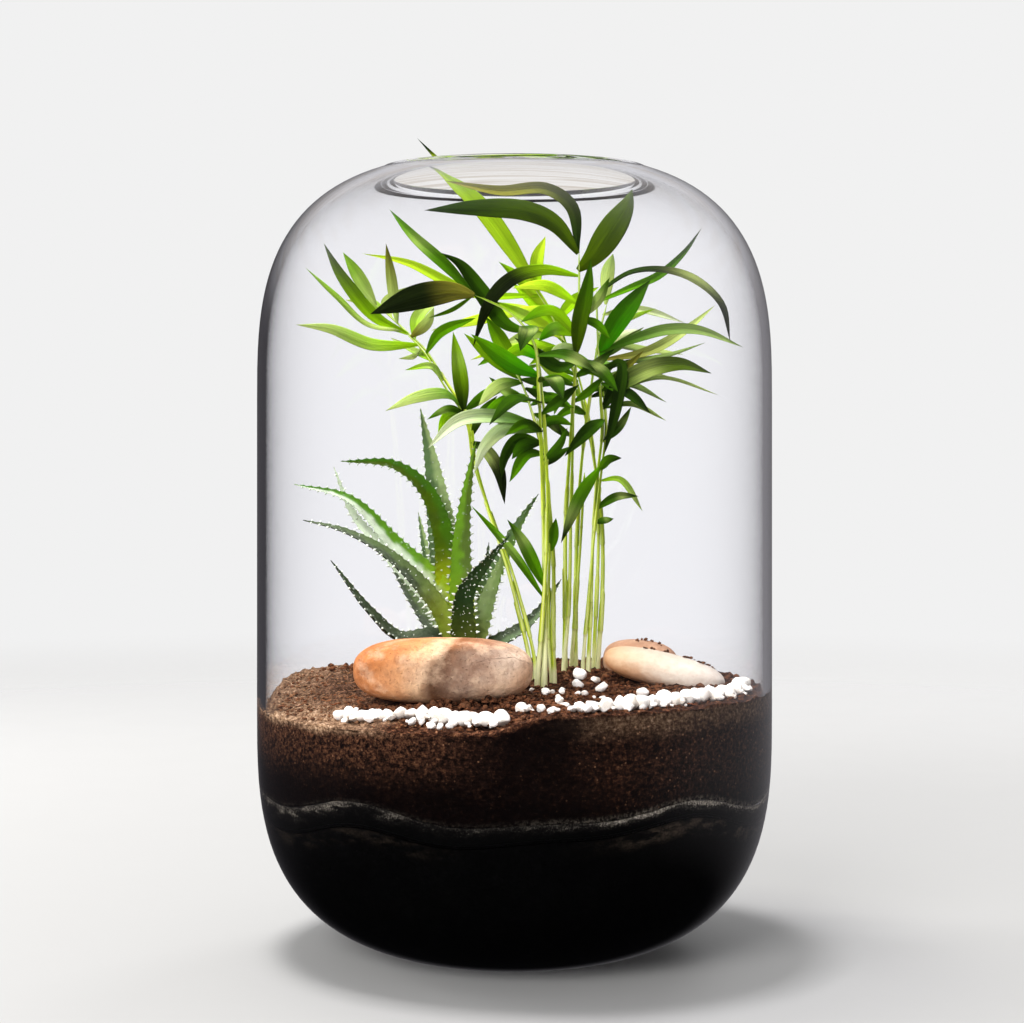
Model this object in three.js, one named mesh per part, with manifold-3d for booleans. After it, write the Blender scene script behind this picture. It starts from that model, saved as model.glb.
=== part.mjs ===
// A glass plant terrarium: a capsule shaped jar with an open mouth. It holds black drainage gravel,
// a thin wavy layer of grey sand, potting soil, three stones, white pebbles, a spotted aloe and a
// clump of parlour palm. Millimetres, +Z up, the origin in the middle of the jar's flat base. The
// eye looks along +Y.
import * as THREE from "three";
import { mergeVertices } from "three/addons/utils/BufferGeometryUtils.js";
import Module from "manifold-3d";

const wasm = await Module();
wasm.setup();

// The jar
const JAR_RADIUS = 90;
const JAR_HEIGHT = 272.5;
const WALL = 3;
const FLOOR_THICKNESS = 5.5;
const LOWER_SHOULDER = 82;
const UPPER_SHOULDER = 191;
const SHOULDER_REACH = 85;
const SHOULDER_POWER = 3;
const MOUTH_RADIUS = 43;
const LIP_RADIUS = 2.3;
const JAR_SIDES = 32;
const OUTER_STEPS = 6;
const INNER_STEPS = 5;

// Angles along the rounded lip, from its outer foot over its crown to its inner foot.
const LIP_ANGLES = [20, 90, 160];

// What lies in the jar
const GAP = 0.3;
const LAYER_GAP = 0.8;
const REST_GAP = 0.4;
const GRAVEL_LEVELS = [0, 0.146, 0.36, 0.646, 1];
const GRAVEL_DROP = 1.4;
const GRAVEL_WAVE = 1.8;
const SAND_HEIGHT = 57.8;
const SAND_WAVE = 2.6;
const SAND_THICKNESS = 4.5;
const SOIL_HEIGHT = 90.5;
const SOIL_DIP = 5;
const ROOT_DEPTH = 77;
const SOIL_SLANT = 0.6;
const GROUND_RINGS = [0.82, 0.64, 0.44, 0.22];

// Where the soil is heaped: at the palm and at the back left.
const SOIL_HEAPS = [
  { x: 20, y: 20, radius: 15, height: 3.3 },
  { x: -66, y: 30, radius: 20, height: 2.6 },
];

// The valley in the front of a stone: its width as a share of the stone's half length, and the shares
// of the half depth and half height between which it grows from nothing to full.
const VALLEY_WIDTH = 0.26;
const VALLEY_FRONT = [0.3, 0.9];
const VALLEY_HEIGHT = [-0.9, 0.8];

// The palm: how far a leaflet is folded up along its middle, as a share of its half width, the height
// of its rib at the base and at the tip, and the sides and steps of a cane.
const FOLD = 0.22;
const RIB = 1.1;
const TIP_RIB = 0.7;
const CANE_SIDES = 5;
const CANE_STEPS = 13;
const CANE_FOOT_RISE = 2;

// The aloe: its core, the depth of the leaf roots in it, and the teeth on the leaves' edges
const ALOE_CENTRE = [-17, -1];
const ALOE_CORE_SIDES = 8;
const ALOE_CORE_RADIUS = 7.5;
const ALOE_CORE_TOP = 101;
const ALOE_ROOT_DROP = 4;
const ALOE_LEAF_ROOT = 4;
const FIRST_TOOTH = 0.2;
const LAST_TOOTH = 0.95;
const TOOTH_PITCH = 7.4;
const TOOTH_HALF_BASE = 1.3;
const TOOTH_HEIGHT = 1.5;
const TOOTH_LEAN = 0.3;

// Facets that are flat to within this are joined.
const FACET_TOLERANCE = 0.06;

// The eye is level and in front. Plants are laid out by where the eye sees each point on the
// upright plane through the jar's axis, and by how far behind that plane the point is.
const EYE_DISTANCE = 809;
const EYE_HEIGHT = 185.6;

const degrees = THREE.MathUtils.degToRad;
const { lerp, smoothstep } = THREE.MathUtils;

function seen([x, z, y]) {
  const scale = 1 + y / EYE_DISTANCE;
  return new THREE.Vector3(x * scale, y, EYE_HEIGHT + (z - EYE_HEIGHT) * scale);
}

// The same row of random numbers each time, between 0 and 1.
function randomRow(seed) {
  let state = seed;
  return () => {
    state = (Math.imul(state, 1664525) + 1013904223) >>> 0;
    return state / 2 ** 32;
  };
}

// A geometry as a solid, turned to face outwards.
function solid(geometry) {
  const bare = new THREE.BufferGeometry();
  bare.setAttribute("position", geometry.getAttribute("position"));
  bare.setIndex(geometry.index);
  const merged = mergeVertices(bare, 1e-4);
  const build = (triVerts) =>
    new wasm.Manifold(
      new wasm.Mesh({ numProp: 3, vertProperties: merged.attributes.position.array, triVerts }),
    );
  const triangles = new Uint32Array(merged.index.array);
  const made = build(triangles);
  return made.volume() < 0 ? build(triangles.reverse()) : made;
}

// Touching solids as one body. Small hollows that they seal between them are filled.
function joined(solids) {
  const bodies = wasm.Manifold.union(solids).simplify(FACET_TOLERANCE).decompose();
  return bodies.sort((a, b) => b.volume() - a.volume())[0];
}

function meshOf(name, made, material) {
  const data = made.getMesh();
  const geometry = new THREE.BufferGeometry();
  geometry.setAttribute("position", new THREE.BufferAttribute(data.vertProperties, 3));
  geometry.setIndex(new THREE.BufferAttribute(data.triVerts, 1));
  geometry.computeVertexNormals();
  const mesh = new THREE.Mesh(geometry, material);
  mesh.name = name;
  return mesh;
}

// A closed skin over rings of corners. A ring of one corner is a pointed end. The two sides of each
// odd and even strip are split along matching diagonals, so a thin twisted blade never cuts itself.
function skin(rings) {
  const corners = rings.flat();
  const starts = [];
  let count = 0;
  for (const ring of rings) {
    starts.push(count);
    count += ring.length;
  }
  const faces = [];
  for (let i = 1; i < rings.length; i++) {
    const sides = rings[i - 1].length;
    for (let k = 0; k < sides; k++) {
      const next = (k + 1) % sides;
      const a = starts[i - 1] + k;
      const b = starts[i - 1] + next;
      if (rings[i].length === 1) {
        faces.push(a, b, starts[i]);
        continue;
      }
      const c = starts[i] + next;
      const d = starts[i] + k;
      if (k % 2 === 0) faces.push(a, b, c, a, c, d);
      else faces.push(a, b, d, b, c, d);
    }
  }
  for (let k = 2; k < rings[0].length; k++) faces.push(0, k, k - 1);
  const last = starts.at(-1);
  for (let k = 2; k < rings.at(-1).length; k++) faces.push(last, last + k - 1, last + k);
  const geometry = new THREE.BufferGeometry().setFromPoints(corners);
  geometry.setIndex(faces);
  return geometry;
}

// A ring of corners around a centre. Each corner is a share across and a share up.
function ringAt(centre, across, up, corners) {
  return corners.map(([right, rise]) =>
    centre.clone().addScaledVector(across, right).addScaledVector(up, rise),
  );
}

// Directions across and up for a piece that runs along tangent and faces the way of facing.
function frameAt(tangent, facing) {
  const across = new THREE.Vector3().crossVectors(facing, tangent).normalize();
  const up = new THREE.Vector3().crossVectors(tangent, across).normalize();
  return [across, up];
}

// The outside radius of the jar at height z, or of a surface that lies inset within it.
function jarRadius(z, inset) {
  const rise = Math.max(LOWER_SHOULDER - z, z - UPPER_SHOULDER, 0) / (SHOULDER_REACH - inset);
  return (JAR_RADIUS - inset) * (1 - rise ** SHOULDER_POWER) ** (1 / SHOULDER_POWER);
}

// Points of one rounded shoulder, from the straight side to the given radius near the axis.
function shoulder(inset, edgeHeight, direction, endRadius, steps) {
  const radius = JAR_RADIUS - inset;
  const endAngle = Math.acos((endRadius / radius) ** (SHOULDER_POWER / 2));
  const points = [];
  for (let i = 0; i <= steps; i++) {
    const angle = (endAngle * i) / steps;
    const across = radius * Math.cos(angle) ** (2 / SHOULDER_POWER);
    const rise = (SHOULDER_REACH - inset) * Math.sin(angle) ** (2 / SHOULDER_POWER);
    points.push(new THREE.Vector2(across, edgeHeight + direction * rise));
  }
  return points;
}

// The radius of what fills the jar at height z. Like the glass, it is straight between the points
// of the lower shoulder.
const FILL_INSET = WALL + GAP;
const fillFloorRadius = jarRadius(FLOOR_THICKNESS, FILL_INSET);
const fillProfile = shoulder(FILL_INSET, LOWER_SHOULDER, -1, fillFloorRadius, INNER_STEPS);

function fillRadius(z) {
  for (let i = 1; i < fillProfile.length; i++) {
    const upper = fillProfile[i - 1];
    const lower = fillProfile[i];
    const share = Math.min(1, (z - lower.y) / (upper.y - lower.y));
    if (share >= 0) return lerp(lower.x, upper.x, share);
  }
  return fillProfile.at(-1).x;
}

function glassJar() {
  const baseRadius = jarRadius(0, 0);
  const floorRadius = jarRadius(FLOOR_THICKNESS, WALL);
  const lipCentre = new THREE.Vector2(MOUTH_RADIUS + LIP_RADIUS, JAR_HEIGHT - LIP_RADIUS);
  const lip = LIP_ANGLES.map((angle) =>
    new THREE.Vector2(LIP_RADIUS, 0).rotateAround(new THREE.Vector2(), degrees(angle)).add(lipCentre),
  );
  const neckRadius = lipCentre.x + 2 * LIP_RADIUS;
  const profile = [
    new THREE.Vector2(0, 0),
    ...shoulder(0, LOWER_SHOULDER, -1, baseRadius, OUTER_STEPS).reverse(),
    ...shoulder(0, UPPER_SHOULDER, 1, neckRadius, OUTER_STEPS),
    ...lip,
    ...shoulder(WALL, UPPER_SHOULDER, 1, MOUTH_RADIUS + 1, INNER_STEPS).reverse(),
    ...shoulder(WALL, LOWER_SHOULDER, -1, floorRadius, INNER_STEPS),
    new THREE.Vector2(0, FLOOR_THICKNESS),
  ];
  return solid(new THREE.LatheGeometry(profile, JAR_SIDES).rotateX(Math.PI / 2));
}

// The surfaces of the layers, as heights above the jar's base. The sand and the gravel wave around
// the jar, most where they meet the glass.
function sandTop(x, y) {
  const around = Math.atan2(x, -y);
  const outwards = Math.min(1, Math.hypot(x, y) / JAR_RADIUS) ** 2;
  const wave = Math.sin(9 * around + 1) * 0.5 - Math.cos(5 * around);
  return SAND_HEIGHT + SAND_WAVE * outwards * wave;
}

function gravelTop(x, y) {
  const around = Math.atan2(x, -y);
  const outwards = Math.min(1, Math.hypot(x, y) / JAR_RADIUS) ** 2;
  const drop = GRAVEL_DROP - GRAVEL_WAVE * Math.sin(around * 2 + 0.5);
  return sandTop(x, y) - SAND_THICKNESS - outwards * drop;
}

// The soil dips towards the glass at the front left and is a little higher on the right.
function soilTop(x, y) {
  const outwards = smoothstep(Math.hypot(x, y), 46, 88);
  const leftFront = (1 - smoothstep(x, -8, 14)) * (1 - smoothstep(y, -30, 40));
  const heaps = SOIL_HEAPS.reduce((total, heap) => {
    const distance = Math.hypot(x - heap.x, y - heap.y) / heap.radius;
    return total + heap.height * Math.exp(-(distance ** 2) / 2);
  }, 0);
  return SOIL_HEIGHT - SOIL_DIP * outwards * leftFront + heaps + SOIL_SLANT * Math.tanh(x / 30);
}

// A layer that fills the jar between two surfaces. The profile's points are shares of the jar's
// radius and of the layer's height.
function layer(profile, bottom, top) {
  const points = profile.map(([share, level]) => new THREE.Vector2(share, level));
  const geometry = new THREE.LatheGeometry(points, JAR_SIDES).rotateX(Math.PI / 2);
  const position = geometry.getAttribute("position");
  const corner = new THREE.Vector3();
  for (let i = 0; i < position.count; i++) {
    corner.fromBufferAttribute(position, i);
    const x = corner.x * (JAR_RADIUS - FILL_INSET);
    const y = corner.y * (JAR_RADIUS - FILL_INSET);
    const z = lerp(bottom(x, y), top(x, y), corner.z);
    const radius = fillRadius(z);
    position.setXYZ(i, corner.x * radius, corner.y * radius, z);
  }
  return solid(geometry);
}

function drainageGravel() {
  const wall = GRAVEL_LEVELS.map((level) => [1, level]);
  const floor = () => FLOOR_THICKNESS + GAP;
  return layer([[0, 0], ...wall, [0.5, 1], [0, 1]], floor, gravelTop);
}

function sandLayer() {
  const profile = [[0, 0], [0.5, 0], [1, 0], [1, 1], [0.5, 1], [0, 1]];
  return layer(profile, (x, y) => gravelTop(x, y) + LAYER_GAP, sandTop);
}

// A rounded stone: a ball with flattened sides, with an upright valley in the middle of its front.
function stone({ centre, halfSizes, power, turn, valley, detail, grow = 0 }) {
  const geometry = new THREE.IcosahedronGeometry(1, detail);
  const position = geometry.getAttribute("position");
  const corner = new THREE.Vector3();
  const sizes = halfSizes.map((size) => size + grow);
  for (let i = 0; i < position.count; i++) {
    corner.fromBufferAttribute(position, i);
    const sum = corner.toArray().reduce((total, part) => total + Math.abs(part) ** power, 0);
    corner.divideScalar(sum ** (1 / power));
    const across = Math.exp(-((corner.x / VALLEY_WIDTH) ** 2));
    const front = smoothstep(-corner.y, ...VALLEY_FRONT);
    const dent = valley * across * front * smoothstep(-corner.z, ...VALLEY_HEIGHT);
    corner.set(corner.x * sizes[0], corner.y * sizes[1] + dent, corner.z * sizes[2]);
    position.setXYZ(i, corner.x, corner.y, corner.z);
  }
  geometry.rotateY(degrees(turn[1])).rotateZ(degrees(turn[0])).translate(...centre);
  return solid(geometry);
}

const STONES = {
  stone_front: {
    centre: [-23.7, -40, 100.4],
    halfSizes: [29.8, 15, 10.9],
    power: 2.7,
    turn: [0, 0],
    valley: 2.2,
    detail: 4,
  },
  stone_right: {
    centre: [53, 3, 95.6],
    halfSizes: [22, 13, 6.2],
    power: 2.4,
    turn: [-4, 13],
    valley: 0,
    detail: 3,
  },
  stone_rear: {
    centre: [46.5, 33, 95.5],
    halfSizes: [14, 10, 8],
    power: 2.5,
    turn: [10, 6],
    valley: 0,
    detail: 2,
  },
};

// Rows of touching white pebbles. Each goes around the jar's axis between two angles from the front,
// to the right where they are positive, at a distance from the axis that changes evenly.
const PEBBLE_ROWS = {
  pebbles_left: [{ angles: [-45, -26], distances: [80, 68], count: 8 }],
  pebbles_middle: [
    { angles: [-21, -3], distances: [72, 80], count: 7 },
    { angles: [-11, -7], distances: [73, 76], count: 2 },
  ],
  pebbles_right: [
    { angles: [15, 76], distances: [79, 80], count: 20 },
    { angles: [40, 62], distances: [75.2, 75.8], count: 7 },
  ],
};
const PEBBLE_RADII = [2.3, 2.9];
const PEBBLE_STRETCH = [1.1, 1, 0.8];
const PEBBLE_VARIETY = 0.2;
const PEBBLE_SEED = 8;

// Single pebbles: x and y on the soil, and the radius.
const SINGLE_PEBBLES = [
  [-46, -54, 2],
  [2, -66, 2.1],
  [16, -66, 1.8],
  [23.4, 3, 2.1],
  [28.6, -2, 2],
  [21.5, -13, 2],
  [30, -24, 2.1],
  [43, -38, 2.2],
];

// An angular pebble that lies on the soil at x, y.
function pebble(soil, x, y, radius, random) {
  const [{ position }] = soil.rayCast([x, y, JAR_HEIGHT], [x, y, SAND_HEIGHT]);
  const geometry = new THREE.IcosahedronGeometry(radius, 0);
  geometry.rotateZ(random() * Math.PI).rotateX(random() * Math.PI);
  geometry.scale(...PEBBLE_STRETCH.map((stretch) => stretch + random() * PEBBLE_VARIETY));
  geometry.computeBoundingBox();
  geometry.translate(x, y, position[2] + REST_GAP - geometry.boundingBox.min.z);
  return solid(geometry);
}

function pebbleRow(soil, { angles, distances, count }, random) {
  return Array.from({ length: count }, (_, i) => {
    const share = i / (count - 1);
    const angle = degrees(lerp(...angles, share));
    const distance = lerp(...distances, share) + random() - 0.5;
    const radius = lerp(...PEBBLE_RADII, random());
    return pebble(soil, distance * Math.sin(angle), -distance * Math.cos(angle), radius, random);
  });
}

// The corners of a leaf's section, right and up as shares of its half width: an edge, the hollow of
// the upper side, the other edge and the keel below.
const ALOE_SECTION = [[1, 0.22], [0, 0.04], [-1, 0.22], [0, -0.5]];

// Aloe leaves: the points that the middle of each passes through, its width at the base, and the
// tilt of its upper face away from the eye.
const ALOE_LEAVES = [
  {
    through: [[-27, 108, -3], [-40, 107.6, -6], [-51, 117, -9], [-64.5, 134.6, -12]],
    width: 9,
    tilt: 60,
  },
  {
    through: [[-27, 118, -2], [-43.8, 136, -4], [-60, 145, -6], [-74.4, 148.7, -6]],
    width: 9.5,
    tilt: 50,
  },
  { through: [[-26, 124, 4], [-42, 140, 5], [-58, 156, 4], [-78, 161.3, 2]], width: 10, tilt: 40 },
  { through: [[-28, 119, 10], [-44, 136, 15], [-57, 151, 18], [-64, 167.5, 18]], width: 8.5, tilt: 40 },
  {
    through: [[-22.7, 121, 4], [-24.6, 142, 8], [-31, 159, 10], [-42, 168, 10], [-61.4, 169.4, 9]],
    width: 11,
    tilt: 10,
  },
  { through: [[-21, 121, 9], [-25.5, 146, 15], [-29, 168, 18], [-33.2, 188, 19]], width: 12, tilt: 0 },
  {
    through: [[-18.6, 122, 1], [-18.4, 144, -1], [-16.2, 162, -3], [-13.5, 176.5, -4]],
    width: 9,
    tilt: 10,
  },
  { through: [[-25, 112, 16], [-30, 132, 23], [-34, 151.5, 27]], width: 8.5, tilt: 20 },
  {
    through: [[-18, 112, -9], [-17, 124, -16], [-9, 135, -23], [-1.6, 143.5, -28]],
    width: 10,
    tilt: -35,
  },
  { through: [[-12, 119, 7], [-3.5, 138, 12], [2.5, 149, 15], [8.5, 158, 17]], width: 10, tilt: 15 },
  { through: [[-13, 110, 2], [-7.5, 127, 3], [-2, 140.5, 3]], width: 8.5, tilt: 0 },
  { through: [[-8, 104.5, 3], [3, 111, 5], [11.5, 120, 8], [16.5, 128, 10]], width: 8, tilt: 60 },
  { through: [[-27, 108, 20], [-38, 124, 31], [-47, 140, 38]], width: 9, tilt: 75 },
  { through: [[-14, 108, 18], [-11, 124, 33], [-9, 141, 42]], width: 9, tilt: 80 },
];

// The half width of a leaf, as a share of its full width, at a share of its length.
const aloeHalfWidth = (along) => 0.5 * (1 - along) ** 0.75 * (0.9 + 0.3 * Math.sin(Math.PI * along));

// The direction that the upper face of a leaf looks: towards the eye, tilted back by an angle.
function facing(tilt) {
  return new THREE.Vector3(0, -Math.cos(degrees(tilt)), Math.sin(degrees(tilt)));
}

// A fleshy leaf, hollow above and keeled below, with a tooth on both edges at each step.
function aloeLeaf({ through, width, tilt }) {
  const [x, y] = ALOE_CENTRE;
  const points = through.map(seen);
  const base = new THREE.Vector3(x, y, ALOE_CORE_TOP - ALOE_ROOT_DROP);
  base.addScaledVector(points[0].clone().sub(base).normalize(), ALOE_LEAF_ROOT);
  const curve = new THREE.CatmullRomCurve3([base, ...points], false, "centripetal");
  const length = curve.getLength();
  const stations = [[0, 0], [FIRST_TOOTH / 2, 0]];
  const teeth = Math.floor((length * (LAST_TOOTH - FIRST_TOOTH)) / TOOTH_PITCH);
  for (let i = 0; i <= teeth; i++) {
    const middle = FIRST_TOOTH + (i * TOOTH_PITCH) / length;
    const reach = TOOTH_HALF_BASE / length;
    const point = middle + reach * TOOTH_LEAN;
    stations.push([middle - reach, 0], [point, TOOTH_HEIGHT], [middle + reach, 0]);
  }
  const rings = stations.map(([along, tooth]) => {
    const [across, up] = frameAt(curve.getTangentAt(along), facing(tilt));
    const half = width * aloeHalfWidth(along);
    const corners = ALOE_SECTION.map(([right, rise]) => {
      const spike = Math.abs(right) === 1 ? right * tooth * lerp(1, 0.6, along) : 0;
      return [right * half + spike, rise * (half + 0.4)];
    });
    return ringAt(curve.getPointAt(along), across, up, corners);
  });
  rings.push([curve.getPointAt(1)]);
  return solid(skin(rings));
}

function aloe() {
  const height = ALOE_CORE_TOP - ROOT_DEPTH;
  const radius = ALOE_CORE_RADIUS;
  const core = new THREE.CylinderGeometry(radius * 0.8, radius, height, ALOE_CORE_SIDES);
  core.rotateX(Math.PI / 2).translate(...ALOE_CENTRE, ROOT_DEPTH + height / 2);
  return joined([solid(core), ...ALOE_LEAVES.map(aloeLeaf)]);
}

// Each palm cane stands at a point of the soil and then passes through seen points. Its leaflets
// start at a height on it, pass through seen points and have a width and a tilt as the aloe's do.
const PALM = {
  palm_main: {
    base: [18, 18],
    radii: [2.1, 0.8],
    route: [
      [18.5, 120.5, 16],
      [18.8, 148.7, 13],
      [19.9, 173.3, 10],
      [20.9, 194.4, 7],
      [22, 215.5, 4],
      [22.3, 233, 2],
      [22.3, 244.5, 0],
    ],
    leaflets: [
      {
        at: 244,
        through: [[20.2, 259.4, -2], [11.1, 266.4, -4], [-5.1, 265.7, -6], [-24.8, 270, -6]],
        width: 6,
        tilt: 30,
      },
      {
        at: 243,
        through: [[14.2, 253.4, -4], [3.7, 258, -8], [-12.1, 259.1, -10], [-31.8, 258.5, -12]],
        width: 8,
        tilt: 15,
      },
      {
        at: 237,
        through: [[27.6, 241.8, 1], [34.2, 251.6, 3], [39.6, 260.8, 5], [42, 267.6, 6]],
        width: 9.6,
        tilt: 0,
      },
      {
        at: 235,
        through: [[10.7, 236.8, -2], [0.2, 234.1, -5], [-8.6, 225.4, -8], [-14.6, 209.5, -10]],
        width: 5.6,
        tilt: 20,
      },
      { at: 207, through: [[23, 219, -3], [25.5, 230.2, -5], [26.9, 241.1, -7]], width: 5.8, tilt: 0 },
      { at: 225, through: [[10.7, 231, 7], [-0.9, 230.6, 11]], width: 5, tilt: 30 },
      { at: 214, through: [[12.5, 221.8, 2], [1.9, 218.3, -4]], width: 6, tilt: 45 },
      { at: 204, through: [[14.9, 202.4, -3], [7.2, 207.4, -8], [-0.2, 213, -9]], width: 5, tilt: 20 },
      { at: 205, through: [[30, 200.7, -4], [36.4, 193.7, -10]], width: 6, tilt: 50 },
      { at: 196, through: [[14.2, 197.7, 4], [5.2, 194, -3]], width: 5, tilt: 45 },
      { at: 219, through: [[29.4, 226, -4], [33.5, 234.4, -8]], width: 4.4, tilt: 30 },
    ],
  },
  palm_right: {
    base: [25.6, 15],
    radii: [1.7, 0.8],
    route: [
      [26.5, 120.5, 14],
      [28, 145.2, 13],
      [30, 166.3, 13],
      [31.5, 180.3, 13],
      [30.8, 192.6, 13],
      [29.7, 208.4, 13],
      [29, 222.5, 13],
      [28.7, 230.2, 13],
    ],
    leaflets: [
      { at: 207, through: [[35.3, 217.2, 12], [42.7, 227.1, 9], [48, 233.6, 6]], width: 7.5, tilt: 0 },
      {
        at: 226,
        through: [[40.6, 230.2, 14], [51.2, 234.8, 13], [60, 243, 9], [66.5, 252.6, 4]],
        width: 4.5,
        tilt: 50,
      },
      {
        at: 229,
        through: [[41, 235.9, 8], [52.9, 236.6, 3], [63.5, 233.1, -1], [73, 224.3, -3], [76, 211.3, -5]],
        width: 5,
        tilt: 55,
      },
      {
        at: 208,
        through: [[41, 211.6, 11], [52.9, 215.1, 8], [65.2, 215.1, 5], [81, 209.5, 2]],
        width: 5.4,
        tilt: 40,
      },
      {
        at: 205,
        through: [[46.6, 207.4, 17], [58.9, 214.1, 20], [71.2, 224.6, 20]],
        width: 5,
        tilt: 50,
      },
      { at: 203, through: [[52.9, 206, 14], [67.7, 211.2, 13]], width: 3.6, tilt: 60 },
      {
        at: 188,
        through: [[36.4, 195.1, 8], [46.6, 201.1, 3], [58.2, 203.2, 0], [69.5, 200.2, -2]],
        width: 7.2,
        tilt: 25,
      },
      { at: 192, through: [[51.2, 198.4, 12], [72.3, 192.6, 11]], width: 3, tilt: 60 },
      { at: 201, through: [[37.4, 203.8, 8], [35.9, 189, 3], [31.5, 171.5, 2]], width: 4.4, tilt: 10 },
      { at: 166, through: [[33.2, 169.8, 10], [37.8, 170.5, 8]], width: 3.5, tilt: 20 },
      { at: 152, through: [[36, 156.8, 11], [43.8, 157.1, 9]], width: 3.2, tilt: 20 },
      { at: 147, through: [[35, 149.2, 16]], width: 2.8, tilt: 30 },
      { at: 162, through: [[37.1, 162.7, 14], [45.2, 151.8, 15]], width: 2.8, tilt: 40 },
      { at: 167, through: [[23, 156.8, 4], [16.3, 140.5, 2]], width: 4.6, tilt: 10 },
      { at: 184, through: [[26, 180, 2], [17.5, 171, -4]], width: 5, tilt: 25 },
      { at: 197, through: [[40.5, 192.6, 5], [48, 186, 2]], width: 4.4, tilt: 35 },
    ],
  },
  palm_left: {
    base: [6.5, 2],
    radii: [1.7, 0.8],
    route: [
      [5.8, 101.2, 1],
      [-1.6, 130.7, 0],
      [-6.2, 144.1, 2],
      [-13.9, 168.4, 8],
      [-16.3, 183.8, 13],
      [-24.1, 196.1, 17],
      [-31.8, 208.4, 21],
      [-37.8, 214.4, 24],
      [-45.5, 221.8, 27],
      [-52.6, 227.4, 29],
    ],
    leaflets: [
      {
        at: 215,
        through: [[-48.7, 219.8, 23], [-60.7, 234.1, 17], [-68, 247.4, 12]],
        width: 5,
        tilt: 20,
      },
      {
        at: 216,
        through: [[-52.2, 217.4, 19], [-63.1, 227.4, 13], [-74.4, 238.3, 8]],
        width: 3.6,
        tilt: 50,
      },
      { at: 223, through: [[-51.4, 225.2, 33], [-60, 226.6, 36]], width: 4, tilt: 30 },
      {
        at: 211,
        through: [[-50.1, 210.2, 16], [-64.9, 215.8, 9], [-77.5, 217.6, 5]],
        width: 5,
        tilt: 20,
      },
      { at: 208, through: [[-26.2, 214.6, 18], [-13.5, 220, 16]], width: 4, tilt: 15 },
      { at: 187, through: [[-19.3, 200.7, 5], [-21.6, 215.1, 3]], width: 5.5, tilt: 10 },
      {
        at: 189,
        through: [[-24.6, 192.6, 7], [-34.3, 191.4, 4], [-45.5, 187, 2]],
        width: 5.2,
        tilt: 35,
      },
      { at: 226, through: [[-55.5, 235, 28], [-61, 244, 22]], width: 5, tilt: 20 },
      { at: 219, through: [[-43.4, 233.1, 23], [-45.5, 247.1, 19]], width: 4, tilt: 30 },
      { at: 205, through: [[-36, 208, 36], [-44, 213, 52]], width: 5, tilt: 80 },
      { at: 184, through: [[-23, 185, 9], [-27, 179.4, 6]], width: 4.4, tilt: 20 },
      { at: 213, through: [[-33.5, 221, 34], [-24, 228, 42]], width: 5, tilt: 50 },
    ],
  },
  palm_near: {
    base: [9.2, -10],
    radii: [2.3, 0.8],
    route: [
      [10, 106.5, -10.5],
      [10.7, 134.6, -11],
      [10.7, 155.7, -12],
      [10, 176.8, -14],
      [9, 194.4, -16],
      [6.5, 212, -19],
      [-1.6, 221.8, -22],
      [-10.4, 226.4, -25],
      [-14.2, 227.8, -26],
    ],
    leaflets: [
      {
        at: 229,
        through: [[-20.9, 228.9, -28], [-33.2, 227, -31], [-50.5, 221.1, -33]],
        width: 9,
        tilt: 10,
      },
      {
        at: 229.3,
        through: [[-23.5, 237.6, -27], [-35, 248.2, -25], [-43.8, 258.4, -21]],
        width: 4.4,
        tilt: 25,
      },
      {
        at: 214,
        through: [[-3.3, 217.8, -17], [-12, 229.5, -16], [-19, 238.9, -16], [-26.2, 243.2, -17]],
        width: 8.4,
        tilt: 5,
      },
      { at: 199, through: [[-1, 203.4, -22], [-15.3, 214.1, -26]], width: 6, tilt: 15 },
      { at: 206, through: [[17.5, 206.2, -25], [29, 200.5, -32]], width: 6, tilt: 50 },
      { at: 190, through: [[0, 190.4, -28], [-9, 182, -36]], width: 6, tilt: 60 },
      { at: 216, through: [[5, 215, -32], [2, 208, -44]], width: 6.5, tilt: 80 },
      { at: 197, through: [[13, 198, -28], [17, 191, -42]], width: 6.5, tilt: 75 },
      { at: 126, through: [[2.6, 141.6, -13], [-2.6, 149, -14]], width: 4.6, tilt: 10 },
      { at: 122, through: [[-0.5, 137.1, -14], [-15.3, 153.9, -17]], width: 3, tilt: 20 },
    ],
  },
  palm_middle: {
    base: [13.5, -2],
    radii: [2, 0.8],
    route: [
      [12.8, 106.5, -2.5],
      [13, 134.6, -2.5],
      [12.1, 155.7, -2],
      [10, 173.3, -2],
      [6.9, 185.6, -3],
      [3.3, 196.1, -4],
      [-0.9, 203.2, -5],
    ],
    leaflets: [
      { at: 189, through: [[11.7, 191.2, -5], [19.5, 189.5, -8]], width: 5.4, tilt: 50 },
      { at: 197, through: [[-5.2, 195.8, -7], [-12.8, 188.7, -10]], width: 5, tilt: 35 },
      {
        at: 182,
        through: [[-5.1, 184.6, -9], [-19.2, 183.4, -13], [-30.8, 173.6, -16]],
        width: 6,
        tilt: 35,
      },
      {
        at: 180,
        through: [[-3.4, 180.6, -10], [-10.7, 174, -14], [-14.2, 164.8, -16]],
        width: 5,
        tilt: 15,
      },
      {
        at: 176,
        through: [[-0.5, 177.4, -3], [-6.2, 168, -4], [-3.3, 153.9, -7]],
        width: 4.6,
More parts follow.
